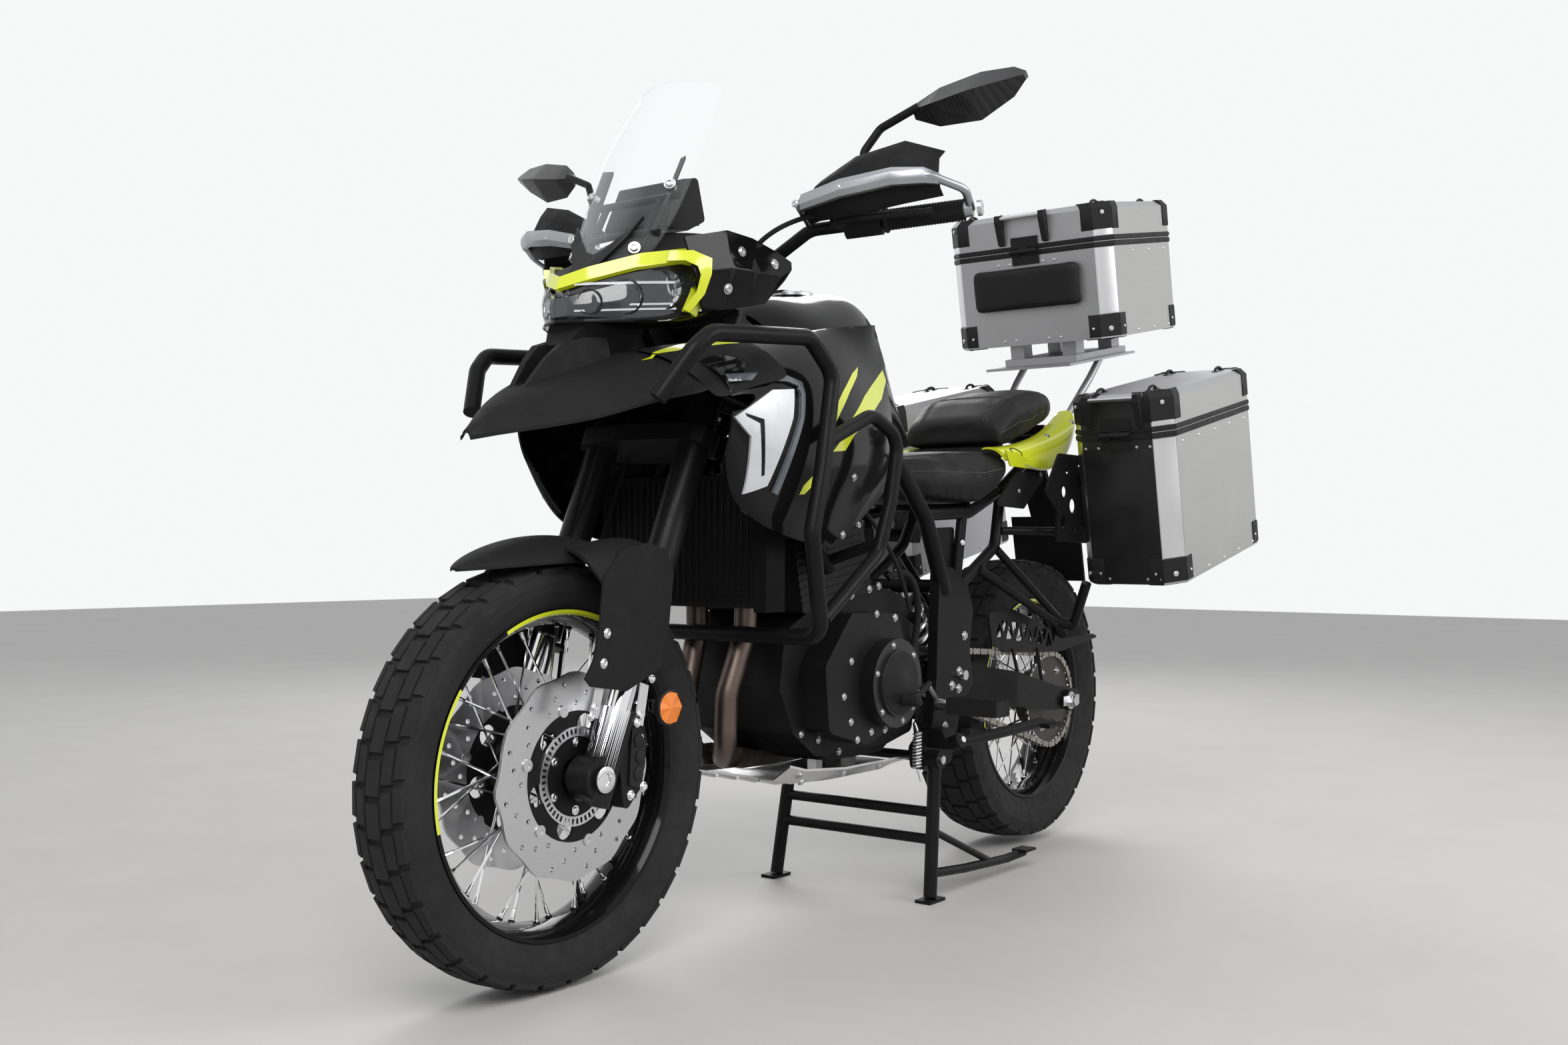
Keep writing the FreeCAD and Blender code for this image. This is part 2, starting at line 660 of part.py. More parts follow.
def radiator():
    core = box(-22, 22, -160, 160, -112, 112)
    tank_l = box(-26, 26, 160, 186, -118, 118)
    tank_r = box(-26, 26, -186, -160, -118, 118)
    body = fuse([core, tank_l, tank_r])
    body.Placement = FreeCAD.Placement(vec(482, 0, 688), FreeCAD.Rotation(vec(0, 1, 0), 0))
    ends = [across(7, side * 180, side * 236, 490, 762) for side in (1, -1)]
    shroud = side_shroud()
    body = fuse([body] + ends).cut(down_tube()).cut(mirrored(down_tube())).cut(shroud).cut(mirrored(shroud))
    return {"radiator": largest(body)}


def exhaust():
    """Two header pipes, the box under the engine and the silencer on the right."""
    pipes = []
    for y in (58, -58):
        pipes.append(tube([(340, y, 716), (396, y, 680), (398, y * 0.95, 530), (438, y * 0.8, 420),
                           (434, y * 0.7, 330), (390, y * 0.5 - 30, 302), (350, y * 0.45 - 34, 301)], 20, 60))
    collector = loft([[(x, y0, z0), (x, y1, z0), (x, y1, z1), (x, y0, z1)] for x, y0, y1, z0, z1 in (
        (362, -84, 20, 282, 320), (300, -94, -4, 276, 308), (250, -98, -16, 272, 296), (60, -98, -16, 272, 296),
        (10, -98, -40, 272, 296))])
    link = tube([(20, -70, 286), (-70, -80, 292), (-190, -88, 322), (-270, -150, 350), (-336, -204, 362)], 18, 60)
    can = loft([
        [(x, y + 46 * cos(a), z + 52 * sin(a)) for a in [2 * pi * k / 12 for k in range(12)]]
        for x, y, z in ((-318, -212, 362), (-610, -226, 470))])
    return {"exhaust": fuse(pipes + [collector, link, can]).cut(engine_block())}


def skid_plate():
    rows = []
    for x, z, side in ((378, 270, 26), (330, 258, 26), (210, 252, 22), (40, 252, 22), (-10, 260, 10)):
        rows.append([(x, -140, z + side), (x, -104, z), (x, 104, z), (x, 140, z + side)])
    posts = [box(x, x + 20, 40, 60, 253, pan_z) for x in (60, 170)]
    return {"skid_plate": fuse([skin(rows, (0, 0, 4))] + posts)}


def fuel_tank():
    """A smooth tank on a flat floor, with a filler cap."""
    wires = []
    for x, top, crown, wide, mid, low, base in (
            (400, 1096, 52, 116, 1040, 90, 912), (350, 1128, 62, 142, 1052, 106, 900),
            (220, 1148, 76, 164, 1046, 118, tank_floor), (110, 1150, 80, 150, 1030, 118, 886),
            (40, 1074, 72, 128, 976, 112, 884), (-30, 956, 62, 112, 916, 102, 880),
            (-66, 896, 54, 100, 886, 92, 878)):
        arch = [vec(x, low, base), vec(x, wide, mid), vec(x, crown, top - 6), vec(x, 0, top), vec(x, -crown, top - 6),
                vec(x, -wide, mid), vec(x, -low, base)]
        curve = Part.BSplineCurve()
        curve.interpolate(arch)
        wires.append(Part.Wire([curve.toShape(), Part.LineSegment(arch[-1], arch[0]).toShape()]))
    cap = rod((190, 0, 1000), (190, 0, 1158), 42)
    return {"fuel_tank": fuse([Part.makeLoft(wires, True, False), cap])}


shroud_rows = [
    [(672, 156, 974), (672, 210, 956), (668, 238, 920), (664, 238, 862), (650, 208, 806)],
    [(600, 160, 1002), (600, 220, 970), (600, 244, 918), (600, 242, 830), (586, 216, 726)],
    [(520, 164, 1022), (520, 226, 980), (520, 248, 910), (520, 246, 812), (500, 226, 696)],
    [(420, 172, 1044), (420, 226, 994), (420, 246, 904), (420, 244, 806), (410, 224, 684)],
    [(296, 190, 1068), (300, 216, 994), (300, 234, 900), (300, 232, 812), (300, 214, 712)],
    [(186, 184, 1086), (162, 190, 1012), (148, 195, 940), (146, 200, 880), (186, 206, 782)]]


def side_shroud():
    return panel(shroud_rows, (0, -4, 0))


def overlay(outline, thick):
    """A piece of the given side view that lies on the left shroud."""
    lifted = [[(x, y + gap, z) for x, y, z in row] for row in shroud_rows]
    return plate(outline, 150, 300).common(panel(lifted, (0, thick, 0)))


def side_shrouds():
    """The wide panels beside the tank and radiator, each with a long vent."""
    vent = plate([(758, 896), (640, 918), (600, 922), (632, 896), (700, 880)], 150, 300, 5)
    return {"side_shrouds": both(largest(side_shroud().cut(vent)))}


def shroud_lamps():
    """The angular light panels on the shrouds and the bright strips that frame them."""
    lamp = overlay([(664, 880), (572, 930), (515, 936), (524, 888), (576, 776), (618, 762), (624, 852)], 4)
    strip = overlay([(664, 948), (600, 956), (530, 958), (492, 950), (488, 930), (496, 889), (552, 762), (562, 766),
                     (506, 890), (500, 930), (504, 942), (530, 947), (600, 944), (664, 936)], 6)
    return {"shroud_lamps": both(Part.makeCompound([largest(lamp), largest(strip)]))}


def beak_rows(lift):
    """Points on the nose's upper side, moved up or down by the given height."""
    rows = []
    for x, half, top, edge in (
            (992, 12, 850, 842), (960, 44, 876, 848), (910, 96, 912, 860), (860, 140, 938, 874),
            (800, 180, 962, 896), (740, 208, 984, 914), (684, 222, 1000, 934)):
        low = edge + lift
        rise = (top - edge) / 2
        side = [(half, low), (half * 0.75, low + rise - 4), (half * 0.4, low + rise * 1.72)]
        rows.append([(x, -y, z) for y, z in side] + [(x, 0, top + lift)] + [(x, y, z) for y, z in reversed(side)])
    return rows


def ridge():
    """The left raised edge of the nose's middle slot."""
    rows = []
    for x, y0, y1, z0, z1 in ((962, 3, 8, 850, 862), (925, 5, 16, 866, 888), (888, 9, 26, 890, 926),
                              (856, 15, 36, 910, 968), (828, 20, 46, 930, 994), (790, 24, 52, 950, 1006),
                              (740, 26, 56, 970, 1012)):
        rows.append([(x, y0, z0), (x, y1, z0), (x, (y0 + y1) / 2 + 2, z1), (x, y0 + 1, z1 - 2)])
    return loft(rows)


def beak():
    """The pointed nose between the headlight and the front wheel, with a slot between two ridges."""
    sheet = panel(beak_rows(0), (0, 0, -beak_t))
    slot = Part.Face(Part.makePolygon([vec(896, 0, 820), vec(850, 13, 820), vec(770, 18, 820), vec(770, -18, 820),
                                       vec(850, -13, 820), vec(896, 0, 820)])).extrude(vec(0, 0, 240))
    return {"beak": largest(fuse([sheet, ridge(), mirrored(ridge())]).cut(slot))}


def lamp_row(x, half, low, high, round_by):
    return [(x, -half, low), (x, half, low), (x, half + round_by, (low + high) / 2), (x, half, high),
            (x, -half, high), (x, -half - round_by, (low + high) / 2)]


def brow_half():
    """The left half of the frame round the lamps: a bar above them and one down their outer side."""
    rows = [
        [(812, 0, 1082), (802, 0, 1104)], [(792, 40, 1094), (782, 42, 1118)], [(736, 100, 1118), (724, 102, 1142)],
        [(676, 138, 1132), (656, 144, 1156)], [(650, 148, 1130), (614, 154, 1152)],
        [(648, 150, 1112), (616, 160, 1118)], [(658, 144, 1080), (634, 154, 1076)], [(668, 138, 1054), (650, 148, 1050)]]
    return skin(rows, (-8, -2, -3))


def headlight():
    """Lamp body with its coloured surround."""
    lamp = loft([
        lamp_row(802, 20, 1040, 1070, 3), lamp_row(780, 52, 1038, 1080, 4), lamp_row(740, 88, 1038, 1096, 4),
        lamp_row(690, 120, 1040, 1110, 4), lamp_row(640, 134, 1042, 1118, 4)])
    brow = fuse([brow_half(), mirrored(brow_half())])
    post = rod((788, 0, 1056), (788, 0, 1102), 7)
    lugs = [rod((650, side * 128, 1098), (650, side * 172, 1098), 6) for side in (1, -1)]
    lamp = fuse([lamp, post] + lugs).cut(brow).cut(nose_panel()).cut(mirrored(nose_panel()))
    return {"headlight": largest(lamp), "headlight_brow": brow}


def nose_panel():
    """The left winglet beside the headlight, folded along its middle."""
    return skin([
        [(684, 158, 1168), (670, 168, 1112), (638, 158, 1056)],
        [(600, 176, 1190), (600, 186, 1128), (596, 168, 1062)],
        [(540, 181, 1186), (540, 190, 1130), (540, 174, 1074)],
        [(480, 186, 1172), (480, 194, 1130), (500, 176, 1084)],
        [(446, 190, 1160), (450, 194, 1146), (462, 188, 1126)]], (0, -4, 0))


def nose_panels():
    return {"nose_panels": both(nose_panel())}


def screen_sheet():
    rows = []
    for x, half, z in ((738, 62, 1130), (720, 88, 1164), (690, 104, 1216), (652, 112, 1290), (600, 110, 1390),
                       (552, 92, 1474)):
        edge = (x - 34, half, z - 10)
        waist = (x - 12, half * 0.66, z - 4)
        rows.append([(a, -b, c) for a, b, c in (edge, waist)] + [(x, 0, z), waist, edge])
    return panel(rows, (-3.5, 0, -1.5))


def nose_stay():
    """The bracket that carries the lamp, the screen and the beak from the head tube."""
    spine = plate([(522, 986), (600, 1010), (640, 1060), (640, 1206), (604, 1206), (612, 1066),
                   (514, 1002)], -26, 26)
    arm = plate([(530, 962), (600, 1032), (720, 1004), (780, 990), (780, 945), (600, 950)], -12, 12)
    low_bar = across(7, -84, 84, 683, 1156)
    high_bar = across(6.5, -104, 104, 632, 1251)
    posts = []
    for y in (60, -60):
        posts.append(rod((683, y, 1156), (632, y, 1251), 6))
        posts.append(rod((630, y / 3, 1150), (683, y / 3, 1156), 6))
    body = fuse([spine, arm, low_bar, high_bar] + posts)
    body = body.cut(along(500, 900, 0, 0, head_r)).cut(screen_sheet())
    return {"nose_stay": largest(body.cut(panel(beak_rows(-beak_t), (0, 0, 60))))}


def windscreen():
    return {"windscreen": screen_sheet()}


def dash():
    housing = plate([(576, 1206), (632, 1206), (592, 1290), (550, 1300), (530, 1230)], -70, 70, 8)
    return {"dash": housing}


def seats():
    rider = loft([
        [(-74, -58, 784), (-74, 58, 784), (-74, 62, 846), (-74, 30, 862), (-74, -30, 862), (-74, -62, 846)],
        [(-150, -112, 776), (-150, 112, 776), (-150, 116, 846), (-150, 70, 872), (-150, -70, 872), (-150, -116, 846)],
        [(-290, -146, 776), (-290, 146, 776), (-290, 152, 850), (-290, 104, 880), (-290, -104, 880), (-290, -152, 850)],
        [(-396, -150, 836), (-396, 150, 836), (-396, 152, 866), (-396, 110, 890), (-396, -110, 890), (-396, -152, 866)]])
    pillion = loft([
        [(-396, -124, 900), (-396, 124, 900), (-396, 128, 930), (-396, 90, 956), (-396, -90, 956), (-396, -128, 930)],
        [(-470, -128, 912), (-470, 128, 912), (-470, 132, 972), (-470, 96, 1012), (-470, -96, 1012), (-470, -132, 972)],
        [(-600, -116, 950), (-600, 116, 950), (-600, 122, 1000), (-600, 88, 1042), (-600, -88, 1042), (-600, -122, 1000)],
        [(-704, -90, 982), (-704, 90, 982), (-704, 94, 1016), (-704, 70, 1044), (-704, -70, 1044), (-704, -94, 1016)]])
    return {"rider_seat": rider, "pillion_seat": pillion}


def cowl_side():
    """The left one of the bright panels round the rear seat's base."""
    return panel([
        [(-350, 108, 893), (-352, 140, 890), (-360, 158, 868)],
        [(-440, 126, 905), (-440, 158, 896), (-440, 170, 858)],
        [(-560, 124, 935), (-560, 162, 920), (-560, 172, 862)],
        [(-668, 104, 972), (-668, 150, 962), (-668, 160, 926)],
        [(-742, 84, 1000), (-742, 116, 1000), (-742, 124, 984)]], (0, -5, -4))


def tail_cowl():
    return {"tail_cowl": both(cowl_side())}


def side_covers():
    lower = plate([(-318, 768), (-410, 842), (-552, 848), (-444, 764)], 152, 156, 6)
    inner = plate([(-128, 718), (-236, 722), (-236, 626), (-190, 640)], 96, 104, 8)
    inner = inner.fuse(across(8, 98, 112, -232, 690)).cut(rear_stay()).cut(rear_upright())
    inner = largest(inner)
    lower = fuse([lower, across(6, 106, 153, -421, 802)]).cut(seat_rail())
    lower = largest(lower)
    return {"side_covers": Part.makeCompound([lower, inner, mirrored(lower), mirrored(inner)])}


def tail_unit():
    lamp = box(-776, -748, -46, 46, 930, 972)
    hanger = plate([(-740, 930), (-752, 930), (-860, 740), (-846, 736)], -34, 34)
    board = plate([(-838, 756), (-846, 756), (-880, 600), (-872, 600)], -90, 90)
    return {"tail_unit": fuse([lamp.fuse(box(-756, -733, -30, 30, 920, 960)), hanger, board])}


def rear_rack():
    """A plate parallel to the top case's floor, its clamping blocks and two curved legs."""
    place = tilt_frame(top_front, top_seam_z, top_tilt)
    shelf = box(-330, 40, -112, 112, -top_deep - rack_drop - 6, -top_deep - rack_drop)
    base = box(-310, -30, -96, 96, -top_deep - rack_drop, -top_deep - rack_drop + 16)
    feet = [box(x - 22, x + 22, y - 18, y + 18, -top_deep - rack_drop + 16, -top_deep)
            for x in (-70, -270) for y in (-70, 70)]
    top = fuse([shelf, base] + feet)
    top.Placement = place
    leg = tube([(-738, 58, 944), (-752, 53.6, 949), (-780, 92, 994), (-880, 100, 1090), (-934, 100, 1142)], 9, 40)
    leg = leg.cut(top).cut(seat_rail())
    leg = largest(leg)
    return {"rear_rack": fuse([leg, mirrored(leg), top])}


def tilt_frame(front, seam_z, tilt):
    """Placement of a case: its own x runs back, its z is normal to the seam."""
    return FreeCAD.Placement(vec(front, 0, seam_z), FreeCAD.Rotation(vec(0, 1, 0), tilt))


def octagon(x0, x1, y0, y1, ci, co, z):
    """A rectangle with cut corners: ci at y0's side and co at y1's side."""
    return [vec(x0 + ci, y0, z), vec(x1 - ci, y0, z), vec(x1, y0 + ci, z), vec(x1, y1 - co, z),
            vec(x1 - co, y1, z), vec(x0 + co, y1, z), vec(x0, y1 - co, z), vec(x0, y0 + ci, z)]


def prism(corners, height):
    face = Part.Face(Part.makePolygon(corners + [corners[0]]))
    return face.extrude(vec(0, 0, height))


def case_shell(length, y0, y1, ci, co, z0, z1, bevel):
    """A tray with cut vertical corners: a body is open above, a lid below and evenly bevelled round its top."""
    is_lid = bevel > 0
    shorter = bevel * (2 - sqrt(2))
    shapes = []
    for t in (0, case_wall):
        low = z0 if is_lid else z0 + t
        high = z1 - t if is_lid else z1
        ring = (-length + t, -t, y0 + t, y1 - t, ci, co)
        inset = (-length + t + bevel, -t - bevel, y0 + t + bevel, y1 - t - bevel, ci - shorter, co - shorter)
        body = prism(octagon(*ring, low), high - low - bevel)
        if is_lid:
            body = fuse([body, loft([octagon(*ring, high - bevel), octagon(*inset, high)])])
        shapes.append(body)
    outer, inner = shapes
    return outer.cut(inner)


def lid_hinge(middle):
    """The fixed and the moving half of a lid's hinge, in the case's own frame."""
    third = hinge_half / 3
    fixed = [box(0, leaf_t, middle - hinge_half, middle + hinge_half, -34, -10),
             across(hinge_pin_r, middle - hinge_half, middle + hinge_half, hinge_out, -hinge_low)]
    for y0, y1 in ((middle - hinge_half, middle - third), (middle + third, middle + hinge_half)):
        fixed.append(across(knuckle_r, y0, y1, hinge_out, -hinge_low))
        fixed.append(box(0, hinge_out, y0, y1, -12, -hinge_low))
    y0 = middle - third + run_gap
    y1 = middle + third - run_gap
    moving = [box(0, leaf_t, middle - hinge_half, middle + hinge_half, 6, 32),
              across(knuckle_r, y0, y1, hinge_out, -hinge_low), box(0, hinge_out, y0, y1, run_gap, 8)]
    bore = across(hinge_pin_r + gap, y0 - 1, y1 + 1, hinge_out, -hinge_low)
    return fixed, moving, bore


def lid_handle(middle, lid_h):
    """A round bar between two brackets on the lid's front edge."""
    pieces = [across(5, middle - handle_half, middle + handle_half, 15, lid_h - 8)]
    for y in (middle - handle_half, middle + handle_half):
        pieces.append(plate([(-case_wall, 14), (10, 18), (22, lid_h - 16), (20, lid_h), (4, lid_h + 2),
                             (-14, lid_h - 2), (-case_wall, lid_h - 20)], y - 7, y + 7))
    return pieces


def case_set(front, seam, tilt, length, y0, y1, ci, co, deep, lid_h, name):
    """A case's body and its lid, each an open shell, with the lid's hinge on the front wall."""
    middle = (y0 + y1 + ci - co) / 2
    fixed, moving, bore = lid_hinge(middle)
    body = fuse([case_shell(length, y0, y1, ci, co, -deep, -gap, 0)] + fixed)
    lid = fuse([case_shell(length, y0, y1, ci, co, 0, lid_h, lid_bevel)] + moving + lid_handle(middle, lid_h))
    lid = lid.cut(bore)
    place = tilt_frame(front, seam, tilt)
    for shape in (body, lid):
        shape.Placement = place
    return {name + "_case_body": body, name + "_case_lid": lid}


def cases():
    parts = {}
    side = (case_front, case_seam_z, case_tilt, case_len)
    parts.update(case_set(*side, case_in, case_out, 22, case_corner, case_deep, case_lid_h, "left"))
    for part in ("_case_body", "_case_lid"):
        parts["right" + part] = mirrored(parts["left" + part])
    parts.update(case_set(top_front, top_seam_z, top_tilt, top_len, -top_half, top_half, top_corner, top_corner,
                          top_deep, top_lid_h, "top"))
    pad = box(0, 26, -142, 142, -142, -36)
    pad.Placement = tilt_frame(top_front, top_seam_z, top_tilt)
    pad.translate(vec(gap, 0, 0))
    parts["backrest_pad"] = pad
    return parts


def case_racks():
    """Perforated plates and struts that hold the side cases."""
    board = plate([(-415, 796), (-471, 759), (-466, 694), (-620, 690), (-640, 800), (-600, 884), (-480, 884)],
                  case_in - 10, case_in - 5, 10)
    holes = [across(hole_r, case_in - 12, case_in - 3, x, z)
             for x, z, hole_r in ((-505, 802, 13), (-500, 736, 13), (-545, 772, 16), (-520, 852, 12), (-578, 856, 9))]
    strut = rod((-404, 121, 716), (-560, case_in - 10, 716), 9)
    high = rod((-600, 88, 880), (-600, case_in - 10, 850), 9)
    discs = [across(12, case_in - 6, case_in - gap, -604, z) for z in (740, 830)]
    frame = fuse([board.cut(Part.makeCompound(holes)), strut, high] + discs)
    return {"case_racks": both(frame.cut(seat_rail()).cut(rear_stay()))}


def crash_bars():
    """Loops round the fairing and the engine on each side."""
    main = tube([(800, 206, 900), (758, 240, 976), (728, 250, 1004), (491, 262, 1022), (436, 270, 966),
                 (470, 274, 811), (500, 274, 700), (455, 262, 530), (445, 190, 528), (445, 0, 528)], crash_r, 40)
    second = tube([(466, 274, 850), (330, 276, 906), (252, 280, 872), (272, 278, 761), (300, 270, 668),
                   (452, 264, 560)], crash_r - 2, 40)
    tie = rod((292, 274, 690), (292, 160, 655), 10)
    half = fuse([main, second, tie]).cut(down_tube())
    return {"crash_bars": fuse([half, mirrored(half)])}


def shock():
    body = fuse([rod((-286, 0, 400), (-164, 0, 604), 20), rod((-266, 0, 434), (-184, 0, 570), 34)])
    return {"rear_shock": body.cut(frame_tie()).cut(arm_tie())}


def chain_loop(grow):
    """A face round both sprockets, grown from their pitch circles."""
    dx = rear_axle_x - front_sprocket_x
    dz = rear_axle_z - front_sprocket_z
    base = atan2(dz, dx)
    small = (front_sprocket_x, front_sprocket_z, front_sprocket_r + grow)
    large = (rear_axle_x, rear_axle_z, rear_sprocket_r + grow)
    lean = atan2(large[2] - small[2], hypot(dx, dz))

    def on(circle, angle):
        x, z, r = circle
        return vec(x + r * cos(angle), chain_y - chain_half, z + r * sin(angle))

    above = base - pi / 2 - lean
    below = base + pi / 2 + lean
    p1, p2 = on(small, above), on(large, above)
    q1, q2 = on(small, below), on(large, below)
    return Part.Face(Part.Wire([
        Part.LineSegment(p1, p2).toShape(), Part.Arc(p2, on(large, base), q2).toShape(),
        Part.LineSegment(q2, q1).toShape(), Part.Arc(q1, on(small, base + pi), p1).toShape()]))


def chain():
    """The outline of the chain's run round both sprockets, as one loop."""
    outer, inner = [chain_loop(grow).extrude(vec(0, 2 * chain_half, 0)) for grow in (7, -7)]
    return {"chain": outer.cut(inner)}


def footrests():
    """Rider's pegs, and the hangers of the passenger's pegs, folded up."""
    peg = fuse([across(12, plate_out, 190, -104, 368), box(-116, -64, 188, 300, 354, 384)])
    hanger = fuse([
        rod((-300, 124, 636), (-590, 158, 512), 10), rod((-378, 124, 677), (-596, 158, 524), 9),
        rod((-596, 150, 516), (-624, 184, 506), 12), rod((-624, 184, 506), (-600, 228, 602), 11)])
    hanger = hanger.cut(rear_stay())
    hanger = largest(hanger)
    return {"rider_pegs": both(peg), "passenger_pegs": both(hanger)}


def centre_stand():
    """Two legs with cross tubes, flat feet and the lever that the rider steps on."""
    legs = []
    for side in (1, -1):
        top = (stand_x, side * stand_y, stand_z)
        low = (stand_foot_x + 1, side * (stand_foot_y - 1), 8)
        legs.append(rod(top, low, stand_tube_r))
        legs.append(across(18, side * (stand_y - 15), side * (stand_y + 15), stand_x, stand_z))
        foot_y = side * stand_foot_y
        legs.append(box(stand_foot_x - 26, stand_foot_x + 30, foot_y - 17, foot_y + 17, 0, 6))
    ties = [across(10, -176, 176, -36, 166), across(10, -178, 178, -28, 115)]
    lever = tube([(-20, 184, 52), (-150, 180, 40), (-330, 176, 30), (-396, 180, 34)], 9, 60)
    brace = rod((-30, 180, 132), (-250, 177, 40), 7)
    pad = box(-416, -372, 166, 200, 38, 43)
    whole = fuse(legs + ties + [lever, brace, pad])
    return {"centre_stand": whole.cut(across(8 + gap, -220, 220, stand_x, stand_z))}


def chassis_pins():
    """The rear axle, the swingarm's bolt and the pins of both stands."""
    return {"chassis_pins": Part.makeCompound([
        across(axle_r, -arm_out - 22, arm_out + 22, rear_axle_x, rear_axle_z),
        across(pivot_bolt_r, -162, 162, pivot_x, pivot_z),
        across(8, plate_out, stand_y + 20, stand_x, stand_z), across(8, -stand_y - 20, -plate_out, stand_x, stand_z),
        slanted(-side_half - gap, side_half + 6, side_pin_r)])}


def side_stand():
    """Folded back along the machine; it swings down, forward and out about its slanted pin."""
    x, y, z = side_pivot
    leg = tube([(x, y, z), (x - 60, y + 7, z + 1), (x - 290, y + 32, z + 14)], side_half, 60)
    knuckle = slanted(-side_half, side_half, 15)
    shoe = box(x - 346, x - 276, y + 14, y + 58, z + 4, z + 12)
    toe = rod((x - 280, y + 32, z + 12), (x - 330, y + 37, z + 12), 8)
    return {"side_stand": fuse([leg, knuckle, shoe, toe]).cut(slanted(-30, 30, side_pin_r + gap))}


def main():
    os.makedirs("parts", exist_ok=True)
    builders = [
        front_wheel, rear_wheel, chain_guard, fork, triple_clamps, handlebar, grips_and_controls, handguards, mirrors,
        front_fender, calipers, main_frame, subframe, swingarm, engine, radiator, exhaust,
        skid_plate, fuel_tank, side_shrouds, shroud_lamps, beak, headlight, nose_panels, nose_stay, windscreen,
        dash, seats, tail_cowl, side_covers, tail_unit, rear_rack, cases, case_racks, crash_bars, shock, chain,
        footrests, centre_stand, side_stand, chassis_pins]
    for build in builders:
        for name, shape in build().items():
            if not shape.isValid() or shape.Volume <= 0:
                print("check", name, shape.isValid(), round(shape.Volume))
            shape.exportStep("parts/" + name + ".step")


main()
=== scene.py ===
from math import atan2, cos, hypot, pi, radians, sin, sqrt

import bmesh
import bpy
from mathutils import Matrix, Vector
from mathutils.bvhtree import BVHTree


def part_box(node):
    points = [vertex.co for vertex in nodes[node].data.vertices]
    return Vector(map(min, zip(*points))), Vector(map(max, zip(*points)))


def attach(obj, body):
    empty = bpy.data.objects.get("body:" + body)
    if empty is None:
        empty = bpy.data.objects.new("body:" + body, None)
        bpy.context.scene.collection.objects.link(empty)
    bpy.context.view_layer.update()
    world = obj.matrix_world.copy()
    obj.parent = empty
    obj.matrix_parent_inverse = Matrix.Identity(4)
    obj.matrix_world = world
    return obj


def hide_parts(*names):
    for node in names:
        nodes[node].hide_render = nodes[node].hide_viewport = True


# Adventure motorcycle: materials, soft parts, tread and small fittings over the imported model.
# Lengths in this script are millimetres and are turned to metres where a mesh is made.

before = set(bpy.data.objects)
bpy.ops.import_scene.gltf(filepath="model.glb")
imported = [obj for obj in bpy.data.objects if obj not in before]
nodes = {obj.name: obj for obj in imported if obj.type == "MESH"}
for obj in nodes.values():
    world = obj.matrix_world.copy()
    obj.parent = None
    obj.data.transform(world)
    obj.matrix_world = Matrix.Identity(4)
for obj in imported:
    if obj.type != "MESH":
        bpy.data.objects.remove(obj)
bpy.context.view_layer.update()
scene = bpy.context.scene
MM = 0.001
X, Y, Z = Vector((1, 0, 0)), Vector((0, 1, 0)), Vector((0, 0, 1))
both_sides = (1, -1)

camera_place = (2.4944, 1.7221, 0.6773)
camera_yaw, camera_pitch, camera_roll = radians(-142.96), radians(0.96), radians(0.21)
camera_lens = 34.873
film_width = 36

# Axles are (x, z) in the middle plane.
front_axle = (830, 328)
rear_axle = (-665, 333)
front_rim_r, rear_rim_r = 254, 229
front_hub_half, rear_hub_half = 40, 48
spoke_count = 36
chain_y = 98
chain_pitch = 15.875
disc_face = 69
fork_foot, fork_way, fork_y = (794.1, 312.8), (-0.3907, 0.9205), 103
grip_start, grip_way = Vector((439.8, 225, 1211)), Vector((-0.334, 0.94, 0.069)).normalized()
# A case's tilted frame: x of its front wall, z of its lid's seam and the tilt in degrees.
side_case, top_case = (-532, 924, 11.5), (-740, 1390.8, 10.8)


def camera():
    """The photograph's view."""
    forward = Vector((cos(camera_yaw) * cos(camera_pitch), sin(camera_yaw) * cos(camera_pitch), sin(camera_pitch)))
    level = Vector((sin(camera_yaw), -cos(camera_yaw), 0))
    upright = level.cross(forward)
    right = level * cos(camera_roll) + upright * sin(camera_roll)
    up = upright * cos(camera_roll) - level * sin(camera_roll)
    data = bpy.data.cameras.new("camera")
    data.lens = camera_lens
    data.sensor_width = film_width
    data.sensor_fit = "HORIZONTAL"
    data.clip_end = 60
    eye = bpy.data.objects.new("camera", data)
    eye.matrix_world = Matrix.Translation(camera_place) @ Matrix((right, up, -forward)).transposed().to_4x4()
    scene.collection.objects.link(eye)
    scene.camera = eye


def new_material(name, color, rough=0.5, metal=0.0, coat=0.0, specular=0.5):
    """A principled material with the plain values set on its shader."""
    material = bpy.data.materials.new(name)
    material.use_nodes = True
    inputs = material.node_tree.nodes["Principled BSDF"].inputs
    for socket, value in (("Base Color", (*color, 1)), ("Roughness", rough), ("Metallic", metal),
                          ("Coat Weight", coat), ("Specular IOR Level", specular)):
        inputs[socket].default_value = value
    return material


